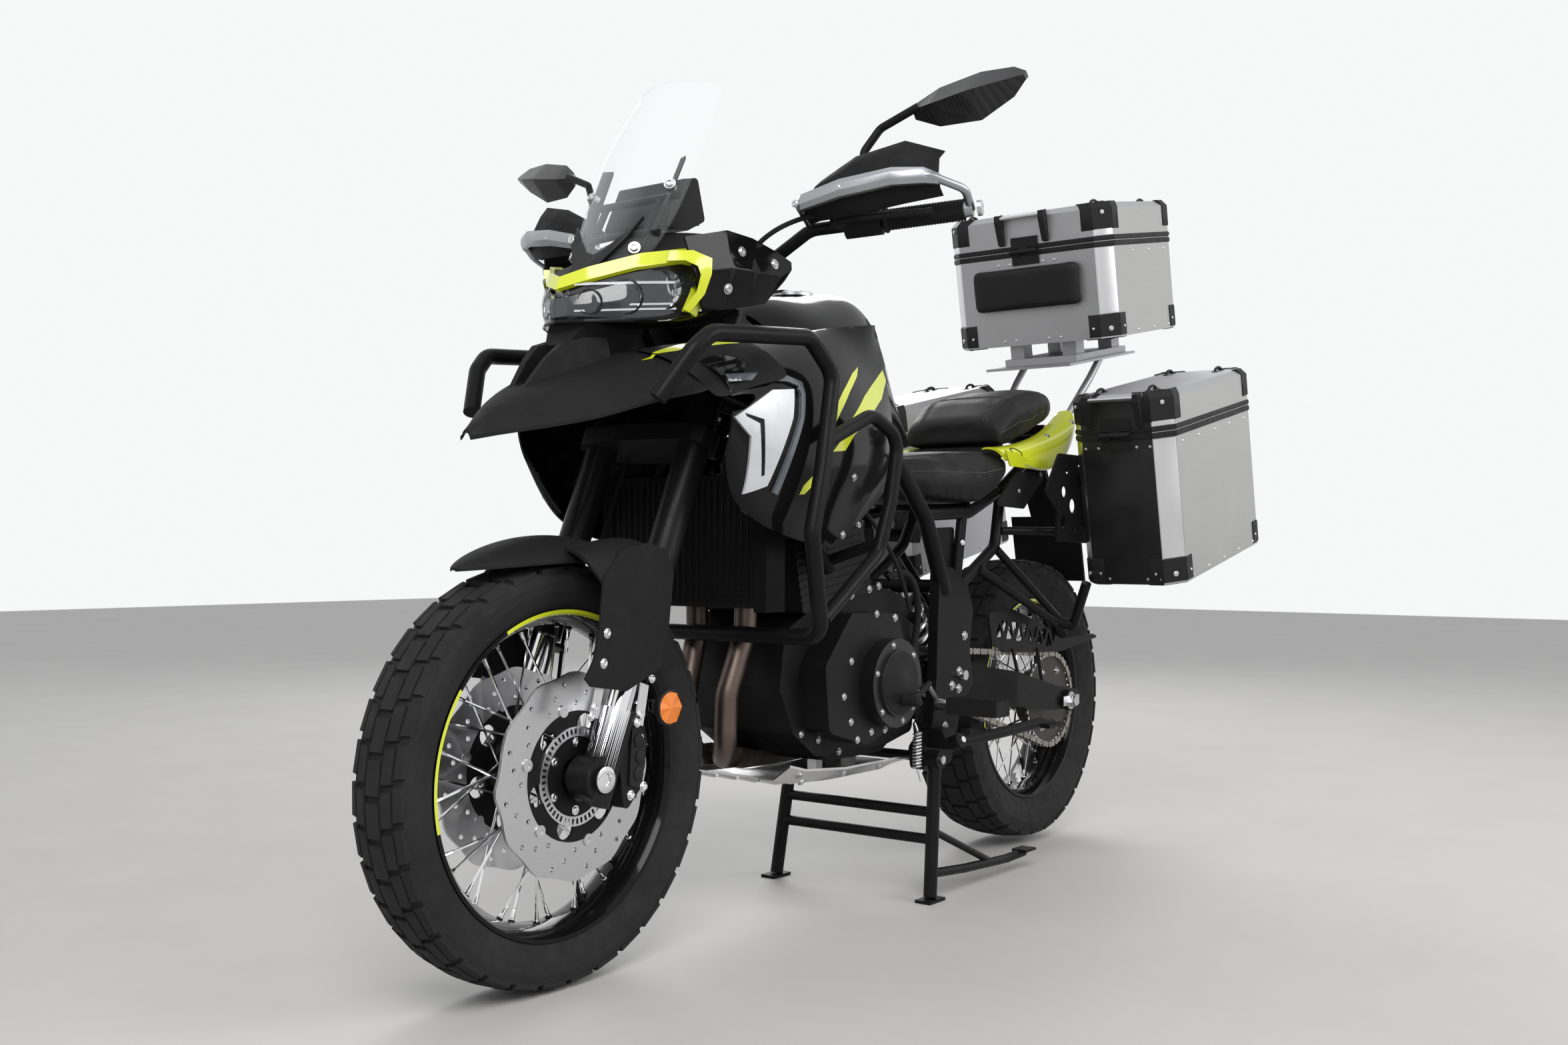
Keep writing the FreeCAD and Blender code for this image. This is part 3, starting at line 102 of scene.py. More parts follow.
class Tree:
    """Short calls for building a material's nodes."""

    def __init__(self, material):
        self.nodes, self.links = material.node_tree.nodes, material.node_tree.links
        self.shader = self.nodes["Principled BSDF"]
        self.place = self.nodes.new("ShaderNodeTexCoord").outputs["Object"]
        self.relief = None

    def add(self, kind, **values):
        """A new node; the values are its settings or its inputs."""
        node = self.nodes.new("ShaderNode" + kind)
        for key, value in values.items():
            if hasattr(node, key):
                setattr(node, key, value)
            else:
                node.inputs[key.replace("_", " ")].default_value = value
        return node

    def link(self, source, node, socket):
        """Joins an output to a named input."""
        self.links.new(source, node.inputs[socket])

    def texture(self, kind, output, vector=None, **values):
        """A texture's output over the object's coordinates or over another vector."""
        node = self.add("Tex" + kind, **values)
        self.link(vector or self.place, node, "Vector")
        return node.outputs[output]

    def noise(self, scale, detail=3.0, vector=None):
        """Cloudy values between nought and one."""
        return self.texture("Noise", "Fac", vector, Scale=scale, Detail=detail, Roughness=0.55)

    def scaled(self, size):
        """The object's coordinates stretched by three factors."""
        mapping = self.add("Mapping", Scale=size)
        self.link(self.place, mapping, "Vector")
        return mapping.outputs["Vector"]

    def spread(self, value, low, high, start=0.0, end=1.0):
        """A value from start to end mapped to low to high."""
        node = self.add("MapRange", From_Min=start, From_Max=end, To_Min=low, To_Max=high)
        self.link(value, node, "Value")
        return node.outputs["Result"]

    def color(self, factor, first, second):
        """Blends two colours by a factor into the shader's base colour."""
        node = self.add("Mix", data_type="RGBA")
        self.link(factor, node, "Factor")
        for index, tone in ((6, first), (7, second)):
            node.inputs[index].default_value = (*tone, 1)
        self.link(node.outputs[2], self.shader, "Base Color")

    def rough(self, value):
        """Sets the shader's roughness from a value."""
        self.link(value, self.shader, "Roughness")

    def bump(self, height, strength, distance):
        """Adds one more layer of relief under the earlier ones."""
        node = self.add("Bump", Strength=strength, Distance=distance)
        self.link(height, node, "Height")
        if self.relief:
            self.link(self.relief, node, "Normal")
        self.relief = node.outputs["Normal"]
        self.link(self.relief, self.shader, "Normal")


def grained(name, color, rough, metal, coat, grain, relief, vary, specular):
    """Painted, cast or moulded: small grain, slow colour changes and uneven gloss."""
    material = new_material(name, color, rough, metal, coat, specular)
    tree = Tree(material)
    tree.color(tree.noise(9.0, 2.0), [c * (1 - vary) for c in color], [min(1.0, c * (1 + vary) + 0.004) for c in color])
    tree.rough(tree.spread(tree.noise(45.0), rough * 0.85, min(1.0, rough * 1.18), 0.3, 0.7))
    if relief:
        tree.bump(tree.noise(grain, 2.0), relief, 0.0004)
    return material


def brushed(name, color, rough, stretch, relief):
    """Metal with fine lines along one way; stretch gives the noise's scale on each axis."""
    material = new_material(name, color, rough, 1.0)
    tree = Tree(material)
    lines = tree.noise(1.0, 4.0, tree.scaled(stretch))
    tree.color(lines, [c * 0.88 for c in color], [min(1, c * 1.12) for c in color])
    tree.rough(tree.spread(tree.noise(6.0), rough * 0.8, rough * 1.25, 0.3, 0.7))
    tree.bump(lines, relief, 0.0002)
    return material


def leather_material():
    """Fine pebbled vinyl with slow wear in its gloss."""
    material = new_material("leather", (0.02, 0.02, 0.021), 0.5, specular=0.14)
    tree = Tree(material)
    wide = tree.noise(12.0)
    tree.color(wide, (0.01, 0.01, 0.0105), (0.018, 0.018, 0.019))
    tree.rough(tree.spread(wide, 0.42, 0.6, 0.3, 0.7))
    tree.bump(tree.texture("Voronoi", "Distance", feature="F1", Scale=620.0), 0.35, 0.0005)
    tree.bump(tree.noise(60.0, 4.0), 0.15, 0.0008)
    return material


def clear_material(name, color, facing, grazing):
    """A thin clear sheet, more visible where it is seen at a flat angle."""
    material = new_material(name, color, 0.03)
    tree = Tree(material)
    rim = tree.add("LayerWeight", Blend=0.35).outputs["Facing"]
    tree.link(tree.spread(rim, facing, grazing, 0.22, 1.0), tree.shader, "Alpha")
    tree.rough(tree.spread(tree.noise(20.0), 0.02, 0.06, 0.4, 0.7))
    return material


def carbon_material():
    """A woven pattern under clear gloss."""
    material = new_material("carbon", (0.015, 0.015, 0.016), 0.3, 0.1, 0.15, 0.25)
    tree = Tree(material)
    weave = tree.texture("Checker", "Fac", Scale=420.0)
    tree.color(weave, (0.006, 0.006, 0.0065), (0.03, 0.03, 0.033))
    tree.rough(tree.spread(weave, 0.22, 0.4))
    tree.bump(weave, 0.2, 0.0002)
    return material


# Colour, roughness, metal, coat, grain, relief, colour change and specular.
grained_looks = {
    "moulded": ((0.009, 0.009, 0.0095), 0.5, 0, 0, 1800, 0.3, 0.18, 0.2),
    "skid_dark": ((0.06, 0.055, 0.05), 0.5, 0.8, 0, 200, 0.15, 0.18, 0.5),
    "core_metal": ((0.005, 0.005, 0.0052), 0.55, 0, 0, 200, 0.1, 0.18, 0.08),
    "engine_light": ((0.02, 0.02, 0.021), 0.34, 0.4, 0, 400, 0.15, 0.18, 0.5),
    "mirror_glass": ((0.75, 0.77, 0.8), 0.03, 1, 0, 20, 0.02, 0.18, 0.5),
    "chain_steel": ((0.32, 0.3, 0.27), 0.4, 1, 0, 300, 0.15, 0.35, 0.5),
    "lamp_inner": ((0.72, 0.73, 0.75), 0.14, 1, 0, 500, 0.5, 0.25, 0.5),
    "smoke": ((0.075, 0.083, 0.095), 0.14, 0, 0.5, 60, 0.02, 0.18, 0.5),
    "deep_black": ((0.004, 0.004, 0.0042), 0.6, 0, 0, 600, 0.2, 0.18, 0.06),
    "matte_black": ((0.01, 0.01, 0.0105), 0.6, 0, 0, 1400, 0.22, 0.18, 0.1),
    "satin_black": ((0.006, 0.006, 0.0065), 0.34, 0, 0, 700, 0.1, 0.18, 0.12),
    "gloss_black": ((0.003, 0.003, 0.0033), 0.1, 0, 0, 60, 0.02, 0.18, 0.18),
    "frame_black": ((0.005, 0.005, 0.0055), 0.36, 0, 0, 500, 0.08, 0.18, 0.1),
    "cast_black": ((0.008, 0.008, 0.0085), 0.44, 0.1, 0, 520, 0.25, 0.18, 0.14),
    "rubber": ((0.01, 0.01, 0.0105), 0.75, 0, 0, 500, 0.2, 0.18, 0.16),
    "tyre": ((0.017, 0.017, 0.018), 0.8, 0, 0, 300, 0.25, 0.3, 0.18),
    "yellow": ((0.62, 0.68, 0.02), 0.22, 0, 0.6, 60, 0.02, 0.05, 0.5),
    "silver_panel": ((0.62, 0.63, 0.65), 0.3, 0.6, 0.4, 60, 0.02, 0.04, 0.5),
    "chrome": ((0.78, 0.78, 0.79), 0.1, 1, 0, 80, 0.02, 0.05, 0.5),
    "zinc": ((0.58, 0.58, 0.59), 0.3, 1, 0, 300, 0.08, 0.12, 0.5),
    "header": ((0.13, 0.1, 0.085), 0.4, 1, 0, 200, 0.08, 0.4, 0.5),
    "orange": ((0.75, 0.19, 0.008), 0.15, 0, 0.3, 400, 0.1, 0.18, 0.5),
    "red_lens": ((0.55, 0.01, 0.01), 0.12, 0, 0.5, 400, 0.1, 0.18, 0.5),
    "dark_glass": ((0.01, 0.011, 0.013), 0.06, 0, 0.8, 30, 0, 0.18, 0.5),
    "stitch": ((0.075, 0.073, 0.07), 0.8, 0, 0, 3000, 0.4, 0.18, 0.5),
    "dark_stitch": ((0.04, 0.04, 0.04), 0.7, 0, 0, 3000, 0.4, 0.18, 0.5),
}
# Colour, roughness, stretch of the lines and relief.
brushed_looks = {
    # The next two are copies of the case metal with painted light: a dark one with painted shade for the side cases'
    # front walls, a bright one with a painted highlight for the cases' outer walls.
    "case_painted_shade_metal": ((0.1, 0.1, 0.104), 0.36, (6, 900, 900), 0.06),
    "case_painted_highlight_metal": ((0.46, 0.455, 0.45), 0.34, (6, 900, 900), 0.06),
    "case_metal": ((0.42, 0.42, 0.43), 0.42, (6, 900, 900), 0.06),
    "rail_metal": ((0.36, 0.37, 0.39), 0.34, (900, 6, 900), 0.05),
    "light_metal": ((0.68, 0.68, 0.69), 0.32, (900, 6, 900), 0.05),
    "skid_metal": ((0.7, 0.7, 0.7), 0.24, (8, 700, 700), 0.06),
    "disc_metal": ((0.55, 0.55, 0.56), 0.26, (500, 20, 500), 0.05),
}
look = {name: grained(name, *values) for name, values in grained_looks.items()}
look.update({name: brushed(name, *values) for name, values in brushed_looks.items()})
look["leather"] = leather_material()
look["carbon"] = carbon_material()
look["clear"] = clear_material("clear", (0.82, 0.84, 0.85), 0.03, 0.36)
look["lens"] = clear_material("lens", (0.2, 0.21, 0.22), 0.03, 0.4)

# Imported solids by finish; those not named here are case_metal.
finishes = {
    "tyre": "front_tyre rear_tyre",
    "gloss_black": "front_rim rear_rim fuel_tank side_shrouds nose_panels",
    "disc_metal": "front_discs rear_disc",
    "skid_dark": "rear_sprocket",
    "cast_black": "chain triple_clamps front_calipers engine",
    "satin_black": "fork_tubes handlebar dash rear_shock front_carriers",
    "chrome": "fork_lowers",
    "zinc": "front_axle rider_pegs chassis_pins",
    "rubber": "grips backrest_pad",
    "matte_black": "bar_controls handguards front_fender beak side_covers tail_unit",
    "rail_metal": "handguard_rails",
    "carbon": "mirrors",
    "frame_black": "main_frame subframe swingarm nose_stay case_racks crash_bars passenger_pegs centre_stand "
                   "side_stand chain_guard",
    "deep_black": "radiator",
    "header": "exhaust",
    "skid_metal": "skid_plate",
    "silver_panel": "shroud_lamps",
    "dark_glass": "headlight",
    "yellow": "headlight_brow tail_cowl",
    "clear": "windscreen",
    "leather": "rider_seat pillion_seat",
}
# The angle, in degrees, from which a solid's edges stay sharp, where it isn't the usual one.
usual_angle = 32
smooth_angle = {"handguards": 75, "mirrors": 60, "front_fender": 40, "exhaust": 40, "side_shrouds": 24,
                "fuel_tank": 30, "beak": 26, "tail_cowl": 30, "engine": 26, "swingarm": 30}
faceted = ("left_case_body", "left_case_lid", "right_case_body", "right_case_lid", "top_case_body", "top_case_lid")


def dress_nodes():
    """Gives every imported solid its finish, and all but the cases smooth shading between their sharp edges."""
    finish_of = {name: finish for finish, names in finishes.items() for name in names.split()}
    for name, node in nodes.items():
        node.data.materials.clear()
        node.data.materials.append(look[finish_of.get(name, "case_metal")])
        if name not in faceted:
            node.data.polygons.foreach_set("use_smooth", [True] * len(node.data.polygons))
            weld = node.modifiers.new("weld", "WELD")
            weld.merge_threshold = 0.00002
            edges = node.modifiers.new("edges", "EDGE_SPLIT")
            edges.split_angle = radians(smooth_angle.get(name, usual_angle))


def studio():
    """Pale floor, pale surroundings and soft lamps, in metres."""
    mesh = bpy.data.meshes.new("floor")
    half = 14
    mesh.from_pydata([(-half, -half, 0), (half, -half, 0), (half, half, 0), (-half, half, 0)], [], [(0, 1, 2, 3)])
    floor = bpy.data.objects.new("floor", mesh)
    scene.collection.objects.link(floor)
    finish = new_material("floor", (0.5, 0.49, 0.48), 0.6)
    tree = Tree(finish)
    tree.color(tree.noise(3.0, 5.0), (0.46, 0.45, 0.44), (0.53, 0.52, 0.51))
    mesh.materials.append(finish)
    world = bpy.data.worlds.new("surroundings")
    world.use_nodes = True
    parts = world.node_tree.nodes
    # The camera, mirrors and clear sheets see a brighter wall than the one that lights the machine.
    plain, shown = parts["Background"], parts.new("ShaderNodeBackground")
    plain.inputs["Color"].default_value = (0.93, 0.94, 0.96, 1)
    plain.inputs["Strength"].default_value = 0.6
    shown.inputs["Color"].default_value = (0.93, 0.935, 0.94, 1)
    rays, mix = parts.new("ShaderNodeLightPath"), parts.new("ShaderNodeMixShader")
    seen, either = parts.new("ShaderNodeMath"), parts.new("ShaderNodeMath")
    seen.operation = either.operation = "MAXIMUM"
    for source, target in ((rays.outputs["Is Camera Ray"], seen.inputs[0]),
                           (rays.outputs["Is Glossy Ray"], seen.inputs[1]),
                           (seen.outputs[0], either.inputs[0]),
                           (rays.outputs["Is Transmission Ray"], either.inputs[1]),
                           (either.outputs[0], mix.inputs[0]),
                           (plain.outputs[0], mix.inputs[1]),
                           (shown.outputs[0], mix.inputs[2]),
                           (mix.outputs[0], parts["World Output"].inputs["Surface"])):
        world.node_tree.links.new(source, target)
    scene.world = world
    for name, place, target, size, power in (
            ("key", (3.4, 2.2, 3.6), (0, 0, 0.7), (2.6, 2.6), 150),
            ("side", (-1.4, 4.2, 2.6), (-0.2, 0, 0.7), (3.0, 1.8), 90),
            ("back", (-3.4, -2.6, 3.4), (0, 0, 0.8), (2.4, 2.4), 90)):
        data = bpy.data.lights.new(name, "AREA")
        data.shape = "RECTANGLE"
        data.size, data.size_y = size
        data.energy = power
        lamp = bpy.data.objects.new(name, data)
        lamp.location = place
        lamp.rotation_euler = (Vector(target) - Vector(place)).to_track_quat("-Z", "Y").to_euler()
        scene.collection.objects.link(lamp)
    scene.view_settings.view_transform = "Standard"


def turns(count, shift=0.0):
    """The angles of equal steps round a full turn."""
    return [2 * pi * (k + shift) / count for k in range(count)]


def wheel_point(axle, radius, angle, y=0.0):
    """A point on a circle about a sideways axis through axle = (x, z)."""
    return Vector((axle[0] + radius * cos(angle), y, axle[1] + radius * sin(angle)))


def square_to(axis):
    """The unit axis and two unit ways square to it."""
    axis = Vector(axis).normalized()
    u = axis.orthogonal().normalized()
    return axis, u, axis.cross(u)


def circle(middle, u, v, radius, angles):
    """Points at the angles on a circle that lies in the plane of u and v."""
    return [middle + (u * cos(a) + v * sin(a)) * radius for a in angles]


class Shape:
    """Gathers small forms, in millimetres, into one mesh; its calls return the shape."""

    def __init__(self):
        self.points = []
        self.faces = []

    def add(self, points, faces):
        """Appends points, and faces that number these points from nought."""
        first = len(self.points)
        self.points.extend(Vector(p) for p in points)
        self.faces.extend([first + i for i in face] for face in faces)
        return self

    def stack(self, rings, closed=True, caps=True):
        """Joins rings that have equally many points."""
        count = len(rings[0])
        last = (len(rings) - 1) * count
        faces = []
        for first in range(0, last, count):
            for k in range(count if closed else count - 1):
                a, b = first + k, first + (k + 1) % count
                faces.append((a, b, b + count, a + count))
        if caps:
            faces += [range(count - 1, -1, -1), range(last, last + count)]
        return self.add([p for ring in rings for p in ring], faces)

    def sheet(self, rows):
        """An open surface through rows of points."""
        return self.stack(rows, False, False)

    def lathe(self, origin, axis, profile, sides=24, caps=True):
        """Turns (along, radius) pairs about an axis."""
        axis, u, v = square_to(axis)
        return self.stack([circle(Vector(origin) + axis * along, u, v, radius, turns(sides))
                           for along, radius in profile], True, caps)

    def ring(self, origin, axis, inner, outer, low, high, sides):
        """A flat ring with a square section."""
        return self.lathe(origin, axis, [(low, inner), (low, outer), (high, outer), (high, inner), (low, inner)],
                          sides, False)

    def tube(self, points, radius, sides=10):
        """A round tube through the points."""
        points = [Vector(p) for p in points]
        side = (points[1] - points[0]).orthogonal().normalized()
        rings = []
        for before, p, after in zip(points[:1] + points, points, points[1:] + points[-1:]):
            ahead = (after - before).normalized()
            side = (side - ahead * side.dot(ahead)).normalized()
            rings.append(circle(p, side, ahead.cross(side), radius, turns(sides)))
        return self.stack(rings)

    def bolt(self, place, axis, radius, high, washer=True):
        """A socket bolt with a rounded head."""
        if washer:
            self.lathe(place, axis, [(-1, radius * 1.35), (0.8, radius * 1.35)], 16)
        return self.lathe(place, axis, [(0, radius), (high * 0.7, radius), (high, radius * 0.8),
                                        (high, radius * 0.5), (high * 0.45, radius * 0.45)], 12)

    def bolts(self, places, y, radius, high):
        """Bolts at (x, z) places that point sideways, away from the middle plane."""
        for x, z in places:
            self.bolt((x, y, z), Y if y > 0 else -Y, radius, high)
        return self

    def slab(self, outline, shift):
        """A flat outline of 3-D points made thick by a shift."""
        outline = [Vector(p) for p in outline]
        return self.stack([outline, [p + Vector(shift) for p in outline]])

    def block(self, low, high):
        """A box between two corners."""
        (x0, y0, z0), (x1, y1, z1) = low, high
        return self.slab([(x0, y0, z0), (x1, y0, z0), (x1, y1, z0), (x0, y1, z0)], (0, 0, z1 - z0))

    def mirror(self):
        """The same forms again on the other side of the middle plane."""
        return self.add([(p.x, -p.y, p.z) for p in self.points], [face[::-1] for face in self.faces])

    def place(self, matrix):
        """Moves all points by a matrix."""
        self.points = [matrix @ p for p in self.points]
        return self

    def piece(self, name, finish, body="chassis", sharp=34):
        """Makes the mesh, with edges beyond the sharp angle kept hard."""
        mesh = bpy.data.meshes.new(name)
        mesh.from_pydata([p * MM for p in self.points], [], self.faces)
        form = bmesh.new()
        form.from_mesh(mesh)
        bmesh.ops.recalc_face_normals(form, faces=form.faces)
        form.to_mesh(mesh)
        form.free()
        mesh.polygons.foreach_set("use_smooth", [True] * len(mesh.polygons))
        mesh.set_sharp_from_angle(angle=radians(sharp))
        mesh.materials.append(look[finish])
        thing = bpy.data.objects.new(name, mesh)
        scene.collection.objects.link(thing)
        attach(thing, body)
        return thing


def hose(name, points, radius, body="chassis"):
    """A clipped hose or cable as a smooth round curve."""
    data = bpy.data.curves.new(name, "CURVE")
    data.dimensions = "3D"
    data.bevel_depth = radius * MM
    data.bevel_resolution = 3
    data.resolution_u = 8
    spline = data.splines.new("NURBS")
    spline.points.add(len(points) - 1)
    for point, place in zip(spline.points, points):
        point.co = (*(Vector(place) * MM), 1)
    spline.order_u = 3
    spline.use_endpoint_u = True
    data.materials.append(look["rubber"])
    thing = bpy.data.objects.new(name, data)
    scene.collection.objects.link(thing)
    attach(thing, body)


def paint(name, choose):
    """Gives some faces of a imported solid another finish; choose(x, y, z, normal) names it."""
    mesh = nodes[name].data
    slots = {}
    for face in mesh.polygons:
        finish = choose(*(face.center / MM), face.normal)
        if finish is None:
            continue
        if finish not in slots:
            mesh.materials.append(look[finish])
            slots[finish] = len(mesh.materials) - 1
        face.material_index = slots[finish]


def surface_of(*names):
    """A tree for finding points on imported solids."""
    shape = Shape()
    for name in names:
        mesh = nodes[name].data
        shape.add([v.co for v in mesh.vertices], [face.vertices for face in mesh.polygons])
    return BVHTree.FromPolygons(shape.points, shape.faces)


def tree_of_piece(piece):
    """A tree for finding points on a piece as its modifiers leave it."""
    return BVHTree.FromObject(piece, bpy.context.evaluated_depsgraph_get())


def side_hit(tree, x, z, side, start=320):
    """The point and normal where a ray from the side meets the surface, or None for both."""
    hit, normal, _, _ = tree.ray_cast(Vector((x, side * start, z)) * MM, Vector((0, -side, 0)))
    return (None, None) if hit is None else (hit / MM, normal)


def side_bolts(tree, places, radius, high, start=320):
    """Bolts laid on both sides of the surface at (x, z) places."""
    shape = Shape()
    for side in both_sides:
        for x, z in places:
            hit, normal = side_hit(tree, x, z, side, start)
            if hit is not None:
                shape.bolt(hit, normal if normal.y * side > 0 else -normal, radius, high)
    return shape


def film(name, tree, outline, finish):
    """A thin sheet of a side view outline, laid on both sides of the surface that the tree holds."""
    lift, start, cell = 0.5, 400, 9
    sheet = Shape()
    for side in both_sides:
        form = bmesh.new()
        verts = []
        for (x0, z0), (x1, z1) in zip(outline, outline[1:] + outline[:1]):
            steps = max(1, int(hypot(x1 - x0, z1 - z0) / cell))
            verts += [form.verts.new((x0 + (x1 - x0) * k / steps, 0, z0 + (z1 - z0) * k / steps))
                      for k in range(steps)]
        bmesh.ops.triangle_fill(form, edges=[form.edges.new(pair) for pair in zip(verts, verts[1:] + verts[:1])],
                                use_beauty=True)
        for _ in range(4):
            long = [e for e in form.edges if e.calc_length() > cell * 1.6]
            if long:
                bmesh.ops.subdivide_edges(form, edges=long, cuts=1)
                bmesh.ops.triangulate(form, faces=form.faces[:])
        form.verts.index_update()
        points = []
        for v in form.verts:
            hit, normal = side_hit(tree, v.co.x, v.co.z, side, start)
            if hit is None:
                hit, normal, _, _ = tree.find_nearest(Vector((v.co.x, side * start * 0.6, v.co.z)) * MM)
                hit = hit / MM
            points.append(hit + (normal if normal.y * side >= 0 else -normal) * lift)
        sheet.add(points, [[v.index for v in face.verts] for face in form.faces])
        form.free()
    sheet.piece(name, finish, sharp=60)


def tyre(name, node, axle, outer, rim_r, half, rim_half, crown, pitches, columns, body):
    """A carcass with rings on its side walls and blocks in staggered columns."""
    depth, bevel = 6, 0.9
    shape = Shape()

    def top(y):
        """The tread's radius at a distance from the middle."""
        return outer - 0.4 - crown * (abs(y) / half) ** 2.6

    middle = (outer + rim_r) / 2 + 4
    wall = [(rim_half - 5, rim_r - 5), (rim_half - 3, rim_r + 1), (rim_half + 2, rim_r + 6),
            (rim_half + 5, rim_r + 12), (half - 4, middle - 14), (half - 2.2, middle - 9), (half - 2.6, middle - 7),
            (half - 1, middle - 1), (half - 0.5, middle + 4), (half - 1.4, middle + 8)]
    tread = [(half * t, top(half * t) - depth) for t in (0.93, 0.84, 0.7, 0.5, 0.25, 0)]
    shape.lathe((axle[0], 0, axle[1]), Y, [(-y, r) for y, r in wall + tread] + tread[-2::-1] + wall[::-1], 144, False)
    for k in range(pitches):
        for y0, y1, start, length, skew in columns:
            row = [y0 + (y1 - y0) * j / 3 for j in range(4)]
            low, high = [], []
            for end, ys, inset in ((0, row, bevel), (1, row[::-1], -bevel)):
                for y in ys:
                    a = 2 * pi / pitches * (k + start + length * end + skew * abs(y) / half)
                    low.append(wheel_point(axle, top(y) - depth - 2, a, y))
                    y_in = y + (bevel if y < (y0 + y1) / 2 else -bevel)
                    high.append(wheel_point(axle, top(y_in), a + inset / outer, y_in))
            count = len(low)
            faces = [(j, (j + 1) % count, count + (j + 1) % count, count + j) for j in range(count)]
            faces += [(count + j, count + j + 1, 2 * count - 2 - j, 2 * count - 1 - j) for j in range(3)]
            shape.add(low + high, faces)
    piece = shape.piece(name, "tyre", body, 40)
    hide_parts(node)


def rim_stripes(name, axle, edge_r, edge_y, body):
    """Two yellow stripes on each flange of a rim, from its edge inwards."""
    shape = Shape()
    slope = ((edge_r, edge_y), (edge_r - 5.4, edge_y), (edge_r - 9.8, edge_y - 5.9))
    steps = 24
    for side in both_sides:
        for start, end in ((-13, 35), (62, 110)):
            shape.sheet([[wheel_point(axle, r, radians(start + (end - start) * k / steps), side * y)
                          for r, y in slope] for k in range(steps + 1)])
    shape.piece(name, "yellow", body)


def spoke_ends(name, axle, rim_r, hub_half, body):
    """Nipples at the rim, bent heads at the hub and the valve."""
    well, flange_r, valve_at = rim_r - 24, 47, 1.2
    bright, dark = Shape(), Shape()
    for i, at_rim in enumerate(turns(spoke_count, 0.5)):
        side = 1 if i % 2 else -1
        lean = 1.15 if (i // 2) % 2 else -1.15
        start = wheel_point(axle, flange_r, at_rim + lean, side * (hub_half - 6))
        end = wheel_point(axle, well + 3, at_rim, side * 7)
        way = (start - end).normalized()
        bright.lathe(end, way, [(3, 4.4), (8, 4.2), (9, 3.4), (22, 2.9), (24, 2.3)], 8)
        dark.lathe(end, way, [(0, 6.5), (4, 5.6), (6, 4.6)], 8)
        bright.lathe(start + Y * side * 2, Y * side, [(0, 4), (4, 3.6), (5, 2.4)], 8)
    bright.piece(name + "_nipples", "chrome", body)
    dark.lathe(wheel_point(axle, 2 - well, valve_at), (cos(valve_at), 0, sin(valve_at)),
               [(-6, 6), (4, 6), (8, 4), (24, 3.6), (26, 5), (40, 5), (42, 3)], 12)
    dark.piece(name + "_valve", "rubber", body)


def front_disc_fittings():
    """Rings on the bobbins, the slotted sensor ring and the carriers' bolts."""
    steel, rings, dark = Shape(), Shape(), Shape()
    for bobbin, bolt in zip(turns(6, 0.25), turns(6, 0.5)):
        place = wheel_point(front_axle, 104, bobbin, disc_face)
        rings.ring(place, Y, 4.2, 9.2, 0, 2.4, 20)
        dark.lathe(place, Y, [(0, 4.4), (1.2, 4.4)], 12)
        steel.bolt(wheel_point(front_axle, 52, bolt, disc_face), Y, 5.5, 2.4)
    for inner, outer in ((61, 64.5), (73, 76)):
        rings.ring(wheel_point(front_axle, 0, 0), Y, inner, outer, disc_face, disc_face + 2.6, 96)
    slots = 48
    for a in turns(slots):
        b = a + pi / slots
        rings.slab([wheel_point(front_axle, r, t, disc_face + 0.2) for r, t in ((64, a), (74, a), (74, b), (64, b))],
                   (0, 2.2, 0))
    rings.mirror().piece("disc_rings", "zinc", "front_wheel")
    steel.mirror().piece("carrier_bolts", "chrome", "front_wheel")
    dark.mirror().piece("bobbin_cores", "cast_black", "front_wheel")


def sprocket_teeth():
    """The toothed ring inside the chain, with its bolts."""
    teeth, near, far = 44, chain_y - 3, chain_y + 3
    hole, tips = [86] * teeth * 4, [99, 105.5, 105.5, 99] * teeth
    rows = [[wheel_point(rear_axle, r, a, y) for r, a in zip(radii, turns(teeth * 4))]
            for radii, y in ((hole, near), (tips, near), (tips, far), (hole, far), (hole, near))]
    bolts = Shape()
    for a in turns(6):
        bolts.bolt(wheel_point(rear_axle, 72, a, chain_y + 4), Y, 6, 6)
    Shape().stack(rows, True, False).piece("sprocket_teeth", "zinc", "rear_wheel")
    bolts.piece("sprocket_bolts", "chrome", "rear_wheel")


